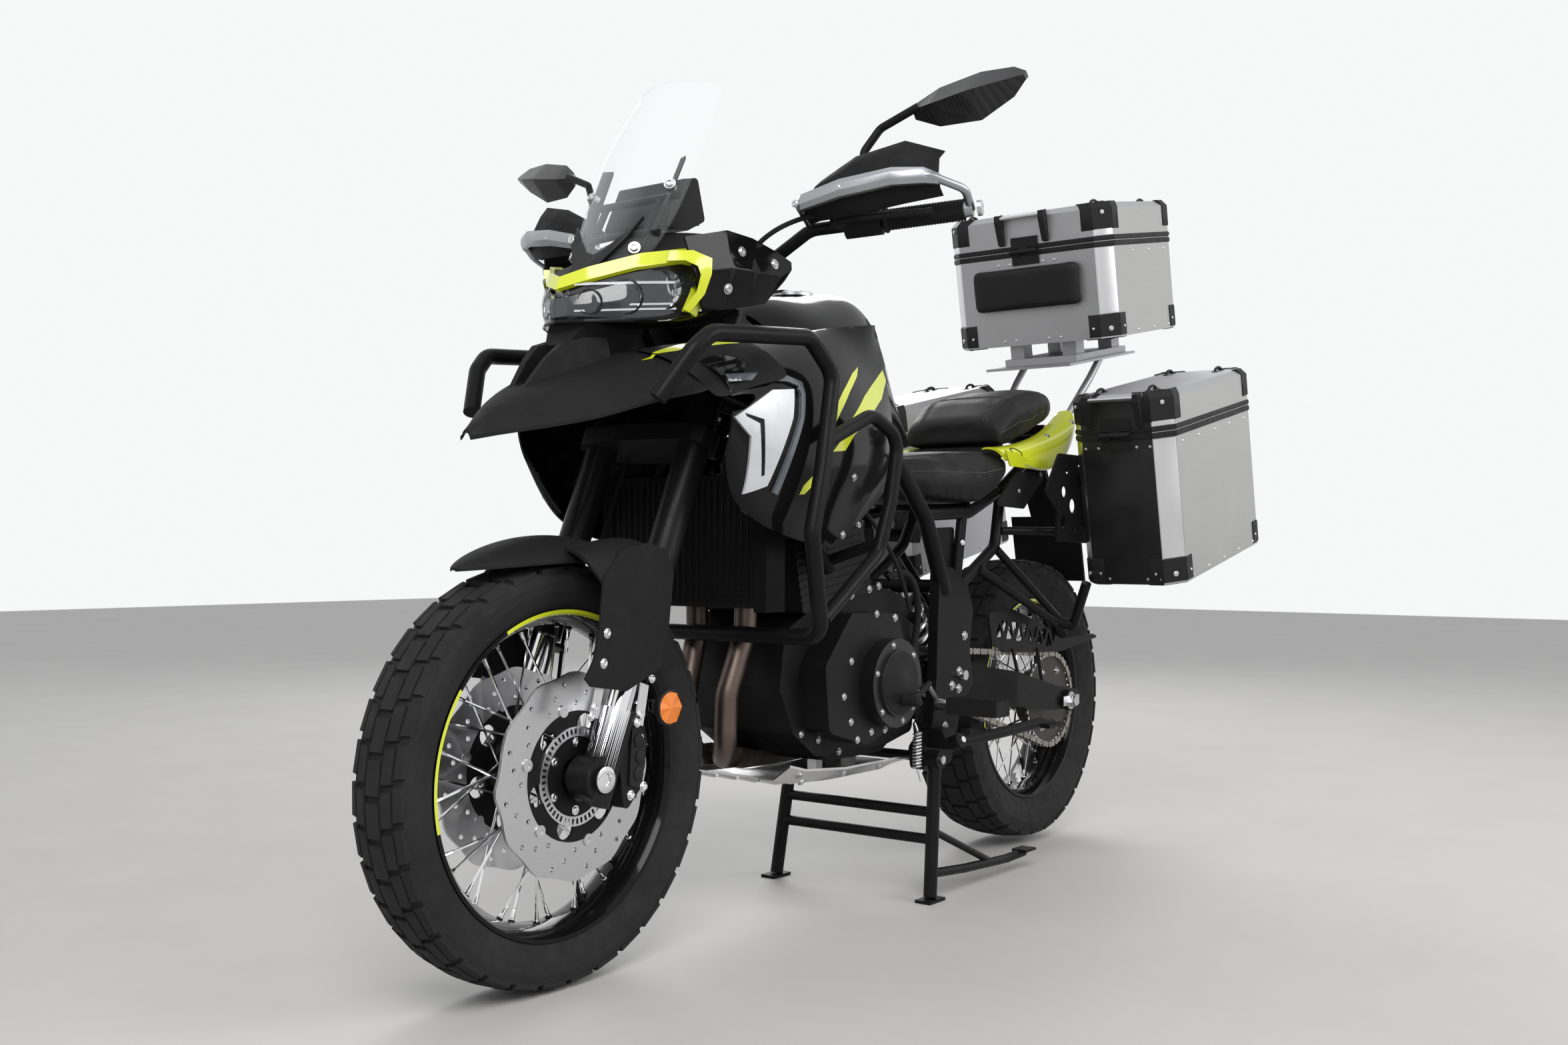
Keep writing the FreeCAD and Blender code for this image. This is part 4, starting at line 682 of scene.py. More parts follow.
def chain_links():
    """Plates and rollers all along the two runs and both sprockets."""
    small, small_r = (-78, 440), 36
    large, large_r = rear_axle, 104
    base = atan2(large[1] - small[1], large[0] - small[0])
    span = hypot(large[0] - small[0], large[1] - small[1])
    lean = atan2(large_r - small_r, span)
    run = sqrt(span ** 2 - (large_r - small_r) ** 2)
    above, below = base - pi / 2 - lean, base + pi / 2 + lean
    round_large, round_small = (pi + 2 * lean) * large_r, (pi - 2 * lean) * small_r
    total = 2 * run + round_large + round_small

    def at(s):
        """The point that is s millimetres along the closed line."""
        s %= total
        if s < run:
            return wheel_point(small, small_r, above).lerp(wheel_point(large, large_r, above), s / run)
        s -= run
        if s < round_large:
            return wheel_point(large, large_r, above + s / large_r)
        s -= round_large
        if s < run:
            return wheel_point(large, large_r, below).lerp(wheel_point(small, small_r, below), s / run)
        return wheel_point(small, small_r, below + (s - run) / small_r)

    waist = [(-6.5, 0), (-4.6, 5.4), (0.5, 6.6), (8, 4.6), (15.4, 6.6), (20.5, 5.4), (22.4, 0)]
    outline = waist + [(u, -v) for u, v in waist[-2:0:-1]]
    count = 2 * round(total / chain_pitch / 2)
    plates, rollers = Shape(), Shape()
    for k in range(count):
        a, b = at(k * total / count), at((k + 1) * total / count)
        way = (b - a).normalized()
        up = Vector((-way.z, 0, way.x))
        off = 8.5 if k % 2 else 6.3
        for side in both_sides:
            plates.slab([a + way * u + up * v + Y * (chain_y + side * off) for u, v in outline], Y * side * 1.4)
        rollers.lathe(a + Y * (chain_y - 5.6), Y, [(0, 4.9), (11.2, 4.9)], 8)
        rollers.lathe(a + Y * (chain_y - 9.9), Y, [(0, 2.4), (19.8, 2.4)], 6)
    links = plates.piece("chain_plates", "chain_steel")
    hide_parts("chain")
    rollers.piece("chain_rollers", "zinc")


def seat_rings(rows):
    """Cross rings of a seat from rows (x, half bottom, half side, half top, z bottom, z side, z top)."""
    rings = []
    for x, bottom, side, top, low, mid, high in rows:
        half = [(0, low), (bottom * 0.5, low), (bottom, low + 1), (side, (low + mid) / 2), (side, mid),
                ((side + top) / 2 + 5, high - (high - mid) * 0.3), (top, high - 3), (top * 0.5, high), (0, high)]
        rings.append([(x, y, z) for y, z in half] + [(x, -y, z) for y, z in half[-2:0:-1]])
    return rings


def inflate(piece, pressure, cap):
    """Pumps a closed mesh up as cloth, then holds each point within cap of its start."""
    frames = 20
    before = [v.co.copy() for v in piece.data.vertices]
    cloth = piece.modifiers.new("cloth", "CLOTH")
    settings = cloth.settings
    settings.use_pressure = True
    settings.uniform_pressure_force = pressure
    settings.effector_weights.gravity = 0
    settings.tension_stiffness = settings.compression_stiffness = 40
    settings.bending_stiffness = 4
    scene.frame_start, scene.frame_end = 1, frames
    for step in range(1, frames + 1):
        scene.frame_set(step)
    pumped = piece.evaluated_get(bpy.context.evaluated_depsgraph_get())
    moved = [v.co.copy() for v in pumped.to_mesh().vertices]
    pumped.to_mesh_clear()
    piece.modifiers.remove(cloth)
    for vertex, start, end in zip(piece.data.vertices, before, moved):
        shift = end - start
        if shift.length > cap:
            shift *= cap / shift.length
        vertex.co = start + shift
    scene.frame_set(1)


def pad(name, node, rings, voxel=0.006, cap=0.006):
    """A closed soft form: lofted, remeshed, pumped up and subdivided."""
    piece = Shape().stack(rings).piece(name, "leather")
    remesh = piece.modifiers.new("remesh", "REMESH")
    remesh.mode = "VOXEL"
    remesh.voxel_size = voxel
    smooth = piece.modifiers.new("smooth", "SMOOTH")
    smooth.factor = 0.5
    smooth.iterations = 8
    mesh = bpy.data.meshes.new_from_object(piece.evaluated_get(bpy.context.evaluated_depsgraph_get()))
    piece.modifiers.clear()
    lofted, piece.data = piece.data, mesh
    bpy.data.meshes.remove(lofted)
    mesh.name = name
    inflate(piece, 4.0, cap)
    mesh.polygons.foreach_set("use_smooth", [True] * len(mesh.polygons))
    fine = piece.modifiers.new("fine", "SUBSURF")
    fine.levels = fine.render_levels = 1
    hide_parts(node)
    return piece


def seam(name, tree, points, way, start, finish="stitch"):
    """Sewn stitches along points thrown onto a soft piece from start millimetres away."""
    pitch, lift, thread = 6.0, 0.4, 0.75
    way = Vector(way)
    points = [Vector(p) for p in points]
    path = []
    for a, b in zip(points, points[1:]):
        count = max(1, int((b - a).length / pitch))
        path += [a.lerp(b, k / count) for k in range(count)]
    laid = []
    for p in path + points[-1:]:
        hit, normal, _, _ = tree.ray_cast((p - way * start) * MM, way)
        if hit is not None:
            laid.append((hit / MM, normal))
    shape = Shape()
    for (a, na), (b, nb) in zip(laid, laid[1:]):
        along = b - a
        if along.length > pitch * 4:
            continue
        p0, p1 = a + along * 0.14 + na * lift, a + along * 0.86 + nb * lift
        middle = (p0 + p1) / 2 + (na + nb).normalized() * 0.5
        shape.tube([p0 - na * 0.8, p0 + na * 0.1, middle, p1 + nb * 0.1, p1 - nb * 0.8], thread, 5)
    if shape.points:
        shape.piece(name, finish)


def seats():
    """The rider's and passenger's seats, with their seams."""
    tree = tree_of_piece(pad("rider_seat_pad", "rider_seat", seat_rings([
        (-74, 50, 54, 22, 786, 838, 852), (-84, 56, 60, 30, 785, 845, 860), (-150, 108, 112, 70, 777, 845, 868),
        (-220, 132, 138, 92, 777, 846, 874), (-290, 142, 148, 104, 777, 850, 878),
        (-350, 146, 150, 104, 806, 858, 880), (-394, 146, 148, 104, 838, 866, 885)])))
    pillion_pad = pad("pillion_seat_pad", "pillion_seat", seat_rings([
        (-398, 120, 122, 88, 903, 926, 946), (-412, 124, 126, 92, 903, 934, 962), (-470, 128, 130, 96, 914, 968, 1006),
        (-535, 122, 126, 92, 930, 982, 1024), (-600, 112, 118, 88, 952, 1000, 1036),
        (-660, 100, 106, 80, 968, 1008, 1040), (-702, 86, 90, 68, 984, 1014, 1038)]))
    for side in both_sides:
        seam(f"rider_top_seam_{side}", tree, [(x, side * y, 0) for x, y in (
            (-92, 34), (-150, 74), (-220, 96), (-290, 107), (-384, 106))], -Z, 950, "dark_stitch")
        seam(f"rider_side_seam_{side}", tree, [(x, 0, z) for x, z in (
            (-90, 832), (-150, 834), (-220, 834), (-290, 836), (-380, 850))], -Y * side, 300)
    seam("rider_cross_seam", tree, [(-352, y, 0) for y in range(-104, 105, 6)], -Z, 950, "dark_stitch")
    tree = tree_of_piece(pillion_pad)
    for side in both_sides:
        for shift in (0, 7):
            seam(f"pillion_top_seam_{side}_{shift}", tree, [(x, side * (y - shift), 0) for x, y in (
                (-404, 84), (-470, 94), (-535, 92), (-600, 88), (-660, 80), (-696, 68))], -Z, 1150)
        seam(f"pillion_side_seam_{side}", tree, [(x, 0, z) for x, z in (
            (-404, 928), (-470, 955), (-535, 968), (-600, 986), (-660, 996), (-696, 1002))], -Y * side, 300)
    for x in (486, 493, 612, 619):
        seam(f"pillion_cross_seam_{x}", tree, [(-x, y, 0) for y in range(-90, 91, 6)], -Z, 1150)


def case_matrix(front, seam_z, tilt):
    """The tilted frame of a case: x from its front wall, z from the seam of its lid."""
    t = radians(tilt)
    return Matrix(((cos(t), 0, sin(t), front), (0, 1, 0, 0), (-sin(t), 0, cos(t), seam_z), (0, 0, 0, 1)))


def octagon(x0, x1, y0, y1, ci, co, z, out):
    """A case's outline with cut corners (ci at y0 and co at y1), grown outwards."""
    x0, x1, y0, y1 = x0 - out, x1 + out, y0 - out, y1 + out
    ci, co = ci + out * 0.4, co + out * 0.4
    return [(x1 - ci, y0, z), (x1, y0 + ci, z), (x1, y1 - co, z), (x1 - co, y1, z), (x0 + co, y1, z),
            (x0, y1 - co, z), (x0, y0 + ci, z), (x0 + ci, y0, z)]


def band(shape, ring, low, high):
    """A rounded rubber band round a case."""
    out = 2.6
    shape.stack([octagon(*ring, z, grown) for z, grown in (
        (low, 0), (low + 1.5, out * 0.8), ((low + high) / 2, out), (high - 1.5, out * 0.8), (high, 0))], True, False)


def case_corners(x0, x1, y0, y1, ci, co):
    """Every cut corner's two points, the ways from them along the walls and the outward way."""
    return [(Vector((x - sx * cut, y)), Vector((x, y - sy * cut)), Vector((-sx, 0)), Vector((0, -sy)),
             (0.7 * sx, 0.7 * sy))
            for y, cut, sy in ((y1, co, 1), (y0, ci, -1)) for x, sx in ((x1, 1), (x0, -1))]


def corner_cap(shape, corner, low, high, bevel):
    """A moulded cap with a raised triangle over a cut corner."""
    a, b, way_a, way_b, out = corner
    wrap, top = 30, 38
    sign = 1 if high > low else -1
    line = [a + way_a * wrap, a, b, b + way_b * wrap]
    shape.sheet([[(p.x - out[0] * inward, p.y - out[1] * inward, z) for p in line] for inward, z in (
        (0, low), (-2.4, low + 2.5 * sign), (-2.4, high - bevel * sign), (bevel * 0.92, high + 2.2 * sign),
        (top * 0.55, high + 2.2 * sign), (top * 0.62, high))])
    middle = [(p + q) / 2 - o * top * 0.3 for p, q, o in zip(a, b, out)]
    along = (b - a).normalized()
    mark = [(*(m + step * w for m, w in zip(middle, way)), high + 2.4 * sign)
            for step, way in ((11, along), (-11, along), (-9, out))]
    for pair in zip(mark, mark[1:] + mark[:1]):
        shape.tube(pair, 1.3, 6)


corner_rivet = ((0, 3.4), (1.2, 3.2), (2, 1.8))
front_rivet = ((0, 3.4), (1.2, 3), (1.9, 1.4))
wall_rivet = ((0, 3.2), (1.1, 2.9), (1.8, 1.4))


def case_trim(name, side, spot, ring, deep, lid_h):
    """Gasket, caps, strips, rivets, lashing loops and latch of one case, and its walls' finishes, with painted shade on
    a side case's front wall and a painted highlight on the wall at y1.
    """
    place = case_matrix(*spot)
    back, _, y0, y1, ci, co = ring
    middle = (y0 + y1 + ci - co) / 2
    guards, strips, lid_guards, lid_strips = Shape(), Shape(), Shape(), Shape()
    band(guards, ring, -14, -1.2)
    band(lid_guards, ring, 0.4, 12)
    for corner in case_corners(*ring):
        corner_cap(lid_guards, corner, lid_h - 62, lid_h, 12)
        corner_cap(guards, corner, -deep + 56, -deep, 6)
        a, b, way_a, way_b, out = corner
        out = Vector(out)
        strip = [a.lerp(b, t) + out * lift for t, lift in ((0.04, 0), (0.1, 1.4), (0.9, 1.4), (0.96, 0))]
        for shape, low, high in ((strips, -deep + 58, -16), (lid_strips, 13, lid_h - 61)):
            shape.sheet([[(*p, z) for p in strip] for z in (low, high)])
        mid = (a + b) / 2 + out * 3
        strips.bolt((*mid, -deep + 22), (*out, 0), 4.4, 2.6)
        lid_strips.bolt((*mid, lid_h - 22), (*out, 0), 3.6, 2.2)
        for p, way, wall in ((a, way_a, -way_b), (b, way_b, -way_a)):
            strips.lathe((*(p + way * 17 + wall * 2), -deep + 24), (*wall, 0), corner_rivet, 10)
    for y in (middle - 74, middle - 44, middle + 44, middle + 74):
        strips.lathe((0, y, -30), X, front_rivet, 10)
        if y0 + 30 < y < y1 - 40:
            strips.lathe((0, y, -deep + 12), X, front_rivet, 10)
    for x in range(back + 70, -60, 92):
        for y, way in ((y1, Y), (y0, -Y)):
            for z in (-28, -deep + 10):
                strips.lathe((x, y, z), way, wall_rivet, 10)
    for x in (-62, back + 62):
        for y in (y0 + 46, y1 - 56):
            lid_guards.tube([(x + 19 * cos(pi * k / 10), y, lid_h + 1 + 8 * sin(pi * k / 10)) for k in range(11)],
                            3.2, 8)
            for end in (-20, 20):
                lid_guards.lathe((x + end, y, lid_h - 0.5), Z, [(0, 8), (2.2, 7.4), (3, 5)], 16)
    for y in (middle - 12, middle + 12):
        guards.block((back - 5, y - 4, -86), (back, y + 4, -22))
    guards.stack([[(back - o, y, z) for y, z in ((middle - w, low), (middle + w, low), (middle + w, high),
                                                 (middle - w, high))]
                  for o, w, low, high in ((0, 26, -96, -20), (4, 24, -94, -22), (6.5, 19, -88, -28))])
    strips.lathe((back - 6, middle, -58), -X, [(0, 9), (1.6, 8.6), (2, 6), (1.2, 5.6)], 24)
    lid_guards.block((back - 4, middle - 22, 15), (back, middle + 22, 40))
    turn = Matrix.Diagonal((1, side, 1, 1)) @ place
    for part, body, black, bright in (("body", "chassis", guards, strips),
                                      ("lid", name + "_lid", lid_guards, lid_strips)):
        black.place(turn).piece(f"{name}_case_{part}_guards", "moulded", body)
        bright.place(turn).piece(f"{name}_case_{part}_strips", "light_metal", body)
    back_turn = place.inverted()
    for part in ("body", "lid"):
        def choose(x, y, z, way):
            x, y, z = back_turn @ Vector((x, y * side, z))
            off = abs(y - middle)
            if part == "lid" and x > 6 and abs(z - lid_h + 8) < 6.5 and off < 50:
                return "zinc"
            if part == "lid" and 48 < off < 68 and x > -15 and (x > 0.5 or z > lid_h + 0.5):
                return "moulded"
            if x > 0.5 and z < 34 and off < 38:
                return "moulded"
            # Painted shade on a side case's front wall, and a painted highlight on the wall at y1: a side case's outer
            # wall, the top case's left wall.
            if abs(x) < 0.6 and name != "top":
                return "case_painted_shade_metal"
            return "case_painted_highlight_metal" if abs(y - y1) < 0.6 else None
        paint(f"{name}_case_{part}", choose)


def cases():
    """The three cases: outline, depth of the body and height of the lid."""
    for name, side in (("left", 1), ("right", -1)):
        case_trim(name, side, side_case, (-508, 0, 227, 449, 22, 38), 330, 84)
    case_trim("top", 1, top_case, (-390, 0, -213, 213, 35, 35), 225, 88)


def backrest():
    """The passenger's soft backrest on the top case."""
    place = case_matrix(*top_case)
    rings = []
    for y, inset in ((-140, 6), (-136, 2.5), (-124, 0.6), (-60, 0), (0, 0), (60, 0), (124, 0.6), (136, 2.5), (140, 6)):
        low, high, out = -141 + inset * 1.6, -37 - inset * 1.6, 24 - inset
        rings.append([place @ Vector((x, y, z)) for x, z in (
            (1.5, low), (out - 5, low), (out, low + 7), (out + 0.5, (low + high) / 2), (out, high - 7),
            (out - 5, high), (1.5, high), (1.5, (low + high) / 2))])
    pad("backrest_cushion", "backrest_pad", rings, voxel=0.005, cap=0.003)


def rim_finish(x, y, z, axle, rim_r, hub_half):
    """Chrome for a wheel's spokes and hub flanges, black for its hub and nothing for its rim."""
    r = hypot(x - axle[0], z - axle[1])
    if r >= rim_r - 25.5:
        return None
    return "cast_black" if r <= 51 and abs(y) < hub_half - 12 else "chrome"


def fork_up(x, z):
    """How far up the fork's direction a point is from the foot of its axis."""
    return (x - fork_foot[0]) * fork_way[0] + (z - fork_foot[1]) * fork_way[1]


def paint_parts():
    """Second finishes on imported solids."""
    for name, choose in {
        "fork_lowers": lambda x, y, z, way: "cast_black" if fork_up(x, z) < 72 else None,
        "exhaust": lambda x, y, z, way: "satin_black" if x < -316 else "skid_dark" if x < 300 and z < 325 else None,
        "tail_unit": lambda x, y, z, way: "red_lens" if z > 925 and x < -750 else None,
        "front_rim": lambda x, y, z, way: rim_finish(x, y, z, front_axle, front_rim_r, front_hub_half),
        "rear_rim": lambda x, y, z, way: rim_finish(x, y, z, rear_axle, rear_rim_r, rear_hub_half),
        "rider_pegs": lambda x, y, z, way: "rubber" if abs(y) > 189 and z > 353 else None,
        "radiator": lambda x, y, z, way: "core_metal" if abs(y) < 159 and abs(x - 482) > 20 else None,
        "front_discs": lambda x, y, z, way: (
            "zinc" if hypot(x - front_axle[0], z - front_axle[1]) < 112 and abs(y) > disc_face + 0.4 else None),
        "engine": lambda x, y, z, way: "engine_light" if abs(y) > 195.5 else None,
        "rear_shock": lambda x, y, z, way: "zinc" if abs(y) < 21 and z > 570 else None,
        "mirrors": lambda x, y, z, way: (
            "satin_black" if abs(y) < 391 else "mirror_glass" if abs(y) > 391 and way.x < -0.8 else None),
        "shroud_lamps": lambda x, y, z, way: "smoke" if z > 940 or x < 510 + 0.42 * (914 - z) else None,
    }.items():
        paint(name, choose)


def reflectors():
    """Round side reflectors on brackets behind the fork."""
    spot, y, radius = (676, 423), 122, 26
    x, z = spot
    lens, back = Shape(), Shape()
    lens.lathe((x, y, z), Y, [(0, radius), (3, radius)], 40, False)
    edge = [wheel_point(spot, radius, a, y + (2.4 if k % 2 else 5.4)) for k, a in enumerate(turns(12))]
    lens.add([(x, y + 7, z)] + edge, [(0, k + 1, (k + 1) % 12 + 1) for k in range(12)])
    back.lathe((x, y - 4, z), Y, [(0, 28), (4, 29.5), (8, 29.5), (9, 27.5), (9, 26.2), (5, 26.2)], 40, False)
    back.lathe((x, y - 4, z), Y, [(0, 28), (0, 0.01)], 40, False)
    back.slab([(x + 4, y - 8, z - 16), (x + 40, y - 8, z - 2), (x + 44, y - 8, z + 14), (x + 2, y - 8, z + 18)], Y * 4)
    back.block((x + 36, 104, z - 2), (x + 44, 118, z + 13))
    lens.mirror().piece("side_reflectors", "orange", "steering", 4)
    back.mirror().piece("reflector_brackets", "moulded", "steering")


def fork_fittings():
    """Clip plates, fender bolts, caliper covers, axle ends and hoses on the fork."""
    clips, bolts, dark = Shape(), Shape(), Shape()
    for (x0, z0), (x1, z1) in (((837, 468), (850, 423)), ((737, 465), (750, 403))):
        clips.slab([(x0 - 9, 124, z0 - 3), (x1 - 9, 124, z1 - 3), (x1 + 9, 124, z1 + 3), (x0 + 9, 124, z0 + 3)],
                   Y * 2.4)
    bolts.bolts(((855, 425), (848, 437), (748, 418), (754, 406), (721, 472)), 126.4, 5, 4)
    bolts.bolts(((829, 548), (836, 503)), 133, 6, 4)
    bolts.bolts(((718, 379), (709, 300), (738, 290), (712, 414)), 98, 6, 5)
    bolts.lathe((830, 133, 328), Y, [(-2, 20), (1, 20), (2, 18), (2, 10), (-1, 9)], 24)
    dark.stack([[(x, y, z) for x, z in ((722, 300), (708, 334), (707, 372), (722, 398), (738, 396), (742, 350),
                                        (744, 306))] for y in (97, 101.5)])
    for x, z in ((724, 322), (720, 348), (724, 374)):
        dark.lathe((x, 101, z), Y, [(0, 11), (2.2, 10.5), (3, 8)], 20)
    way = Vector((fork_way[0], 0, fork_way[1]))
    for up in (110, 114, 214, 218):
        dark.lathe(Vector((fork_foot[0], fork_y, fork_foot[1])) + way * up, way, [(-1.5, 24.5), (1.5, 24.5)], 28)
    clips.mirror().piece("fender_clips", "light_metal", "steering")
    bolts.mirror().piece("fork_bolts", "chrome", "steering")
    dark.mirror().piece("caliper_covers", "moulded", "steering")
    for side in both_sides:
        hose(f"brake_hose_{side}", [(x, side * y, z) for x, y, z in (
            (712, 96, 420), (700, 98, 470), (690, 100, 540), (640, 84, 640), (600, 70, 760), (560, 66, 860))],
            3.2, "steering")


def machine_bolts():
    """Silver fasteners on engine, frame plates, guards and covers."""
    tree = surface_of("engine", "main_frame", "centre_stand", "swingarm", "chassis_pins", "crash_bars", "side_shrouds",
                      "radiator", "side_covers", "subframe", "skid_plate")
    shape = Shape()
    for radius, places in {
        5.0: ((232, 473), (255, 411), (233, 364), (167, 340), (191, 302), (122, 340), (70, 380), (60, 520), (150, 556),
              (212, 330), (256, 330), (308, 345)),
        5.5: ((55, 632), (59, 605), (88, 547), (112, 600), (172, 590), (338, 569), (150, 720), (330, 700), (170, 812),
              (320, 800), (250, 640)),
        7.0: ((266, 577), (-231, 572), (-151, 402), (-179, 429), (-177, 394), (-124, 323), (-69, 380), (-200, 500)),
        4.0: ((-421, 802), (-340, 790), (-520, 842), (-232, 690)),
    }.items():
        for x, z in places:
            for side in both_sides:
                hit, normal = side_hit(tree, x, z, side)
                if hit is not None and normal.y * side >= 0.5:
                    shape.bolt(hit, normal, radius, radius * 0.7)
    shape.piece("frame_bolts", "zinc")


def engine_details():
    """Round covers, fins, cover bolts and cables on the engine."""
    dark, light = Shape(), Shape()
    left, right = (120, 428), (110, 440)
    dark.lathe((120, 203, 428), Y, [(-1, 60), (1.5, 58), (2.5, 50), (2, 30), (4, 22), (4.5, 0.01)], 48, False)
    dark.lathe((110, -192, 440), -Y, [(-1, 92), (2, 88), (3, 70), (2.4, 40), (5, 30), (5.6, 0.01)], 48, False)
    for k in range(6):
        a = 2 * pi * k / 6 + 0.3
        light.bolt(wheel_point(left, 72, a, 196), Y, 4.2, 3.4)
        light.bolt(wheel_point(right, 80, a, -192), -Y, 4.2, 3.4)
    for z in range(606, 712, 13):
        lean = (z - 600) * 0.26
        for side in both_sides:
            dark.slab([(x, side * 125, z + up) for x, up in (
                (116 + lean, 4), (326 + lean * 0.9, -32), (326 + lean * 0.9, -28), (116 + lean, 8))], Y * side * 4)
    dark.lathe((250, 126, 700), Y, [(-2, 26), (5, 26), (8, 22), (8, 16), (4, 15)], 32)
    dark.lathe((-30, 112, 470), Y, [(14, 30), (19, 29), (21, 24), (21, 10)], 32)
    dark.piece("engine_covers", "cast_black")
    light.piece("engine_cover_bolts", "zinc")
    hose("coolant_hose_left", [(470, 205, 770), (440, 196, 780), (380, 180, 750), (300, 150, 690), (280, 126, 650)], 13)
    hose("breather_hose", [(60, 134, 620), (30, 150, 640), (-20, 150, 600), (-40, 140, 520), (-20, 128, 430)], 7)
    hose("clutch_cable", [(40, 170, 560), (80, 178, 640), (200, 168, 760), (300, 150, 820)], 4)


def coil(shape, start, end, radius, wire, count):
    """A helical spring of count turns between two points."""
    start, end = Vector(start), Vector(end)
    _, u, v = square_to(end - start)
    steps = int(count * 18)
    shape.tube([start.lerp(end, k / steps) + (u * cos(2 * pi * count * k / steps) + v * sin(2 * pi * count * k / steps))
                * radius for k in range(steps + 1)], wire, 8)


def springs():
    """The shock absorber's coil and the stand's spring with its hooks."""
    shape = Shape()
    coil(shape, (-270, 0, 428), (-180, 0, 577), 40, 6, 7)
    shape.piece("shock_spring", "zinc")
    shape = Shape()
    coil(shape, (41, 189, 330), (42, 189, 262), 7, 2, 11)
    shape.tube([(41, 189, 332), (40, 182, 346)], 2, 6)
    shape.tube([(42, 189, 260), (34, 192, 236)], 2, 6)
    shape.piece("stand_spring", "zinc")


def radiator_core():
    """Fins and tubes on both faces of the radiator and the wires of its guard."""
    fins, guard = Shape(), Shape()
    for z in range(588, 790, 9):
        fins.block((504.3, -156, z), (505.1, 156, z + 3))
        fins.block((458.9, -156, z), (459.7, 156, z + 3))
    for y in range(-148, 149, 14):
        guard.block((506.4, y, 582), (507.6, y + 2, 794))
    fins.piece("radiator_fins", "core_metal")
    guard.piece("radiator_guard", "frame_black")


def thicken(piece, thickness):
    """Gives a sheet its thickness and rounds it."""
    solid = piece.modifiers.new("thick", "SOLIDIFY")
    solid.thickness = thickness * MM
    smooth = piece.modifiers.new("smooth", "SUBSURF")
    smooth.levels = smooth.render_levels = 2
    return piece


def cover(name, rows, finish):
    """A moulded cover from rows of points."""
    return thicken(Shape().sheet(rows).piece(name, finish, sharp=60), 2.4)


def whole(rows):
    """Rows of points on the left half, completed by their mirror images."""
    return [[(x, -y, z) for x, y, z in row[:0:-1]] + row for row in rows]


def headlight_inside():
    """Reflector bowls, trim, ledges and a clear lens over the lamp on each side."""
    edge = ((812, 2, 1032, 1074), (802, 34, 1032, 1084), (774, 68, 1033, 1098), (734, 103, 1036, 1114),
            (696, 129, 1042, 1127), (652, 146, 1054, 1136))
    shell_tops = (1084, 1096, 1112, 1130, 1140, 1144)
    way, u, v = square_to((0.86, 0.5, 0.02))
    bowls, dark, ledges = Shape(), Shape(), Shape()
    for x, y, z, r in ((778, 44, 1062, 18), (736, 82, 1072, 26), (686, 114, 1088, 32)):
        start = Vector((x, y, z)) - way * 6
        for a, b in zip(turns(12), turns(12, 0.86)):
            bowls.sheet([circle(start + way * t, u, v, q, (a, b))
                         for t, q in ((-1, 5), (1.5, r * 0.55), (6, r * 0.85), (13, r))])
        dark.lathe(start, way, [(13, r), (14.5, r + 0.6), (14.5, r + 2.2), (10, r + 3)], 28, False)
        bowls.lathe(start, way, [(0, 6), (5, 6.5), (9, 5), (10.5, 0.01)], 16, False)
    for low, high, out in ((1048, 1051, 3), (1056, 1059, 2), (1090, 1094, 1)):
        ledges.sheet([[(x, y, low + lift), (x + out, y + out, low + lift), (x + out, y + out, high + lift),
                       (x, y, high + lift)] for x, y, lift in ((796, 26, -2), (764, 64, 0), (726, 100, 3),
                                                              (672, 130, 8))])
    flip = Matrix.Diagonal((1, -1, 1, 1))
    for side in both_sides:
        for shape, name, finish in ((bowls, "bowls", "lamp_inner"), (dark, "trim", "gloss_black"),
                                    (ledges, "ledges", "lamp_inner")):
            shape.piece(f"lamp_{name}_{side}", finish)
            shape.place(flip)
        rows = [[(x + bow, side * (y + bow * 0.8), low + (high - low) * t)
                 for t, bow in ((0, -4), (0.25, 1), (0.5, 2.4), (0.75, 1), (1, -4))] for x, y, low, high in edge]
        thicken(Shape().sheet(rows).piece(f"lamp_lens_{side}", "lens", sharp=60), 1.6)
        Shape().sheet([[(x - 34, side * y * 0.93, low + 3), (x - 26, side * y * 0.95, low + 2),
                        (x - 22, side * y * 0.95, high + 4), (x - 40, side * y * 0.93, high + 6)]
                       for (x, y, low, _), high in zip(edge, shell_tops)]).piece(f"lamp_shell_{side}", "dark_glass",
                                                                                 sharp=20)
        Shape().tube([(x - 3, side * (y - 2.2), low - 1) for x, y, low, _ in edge], 3.6, 8).piece(
            f"lamp_rim_{side}", "gloss_black")


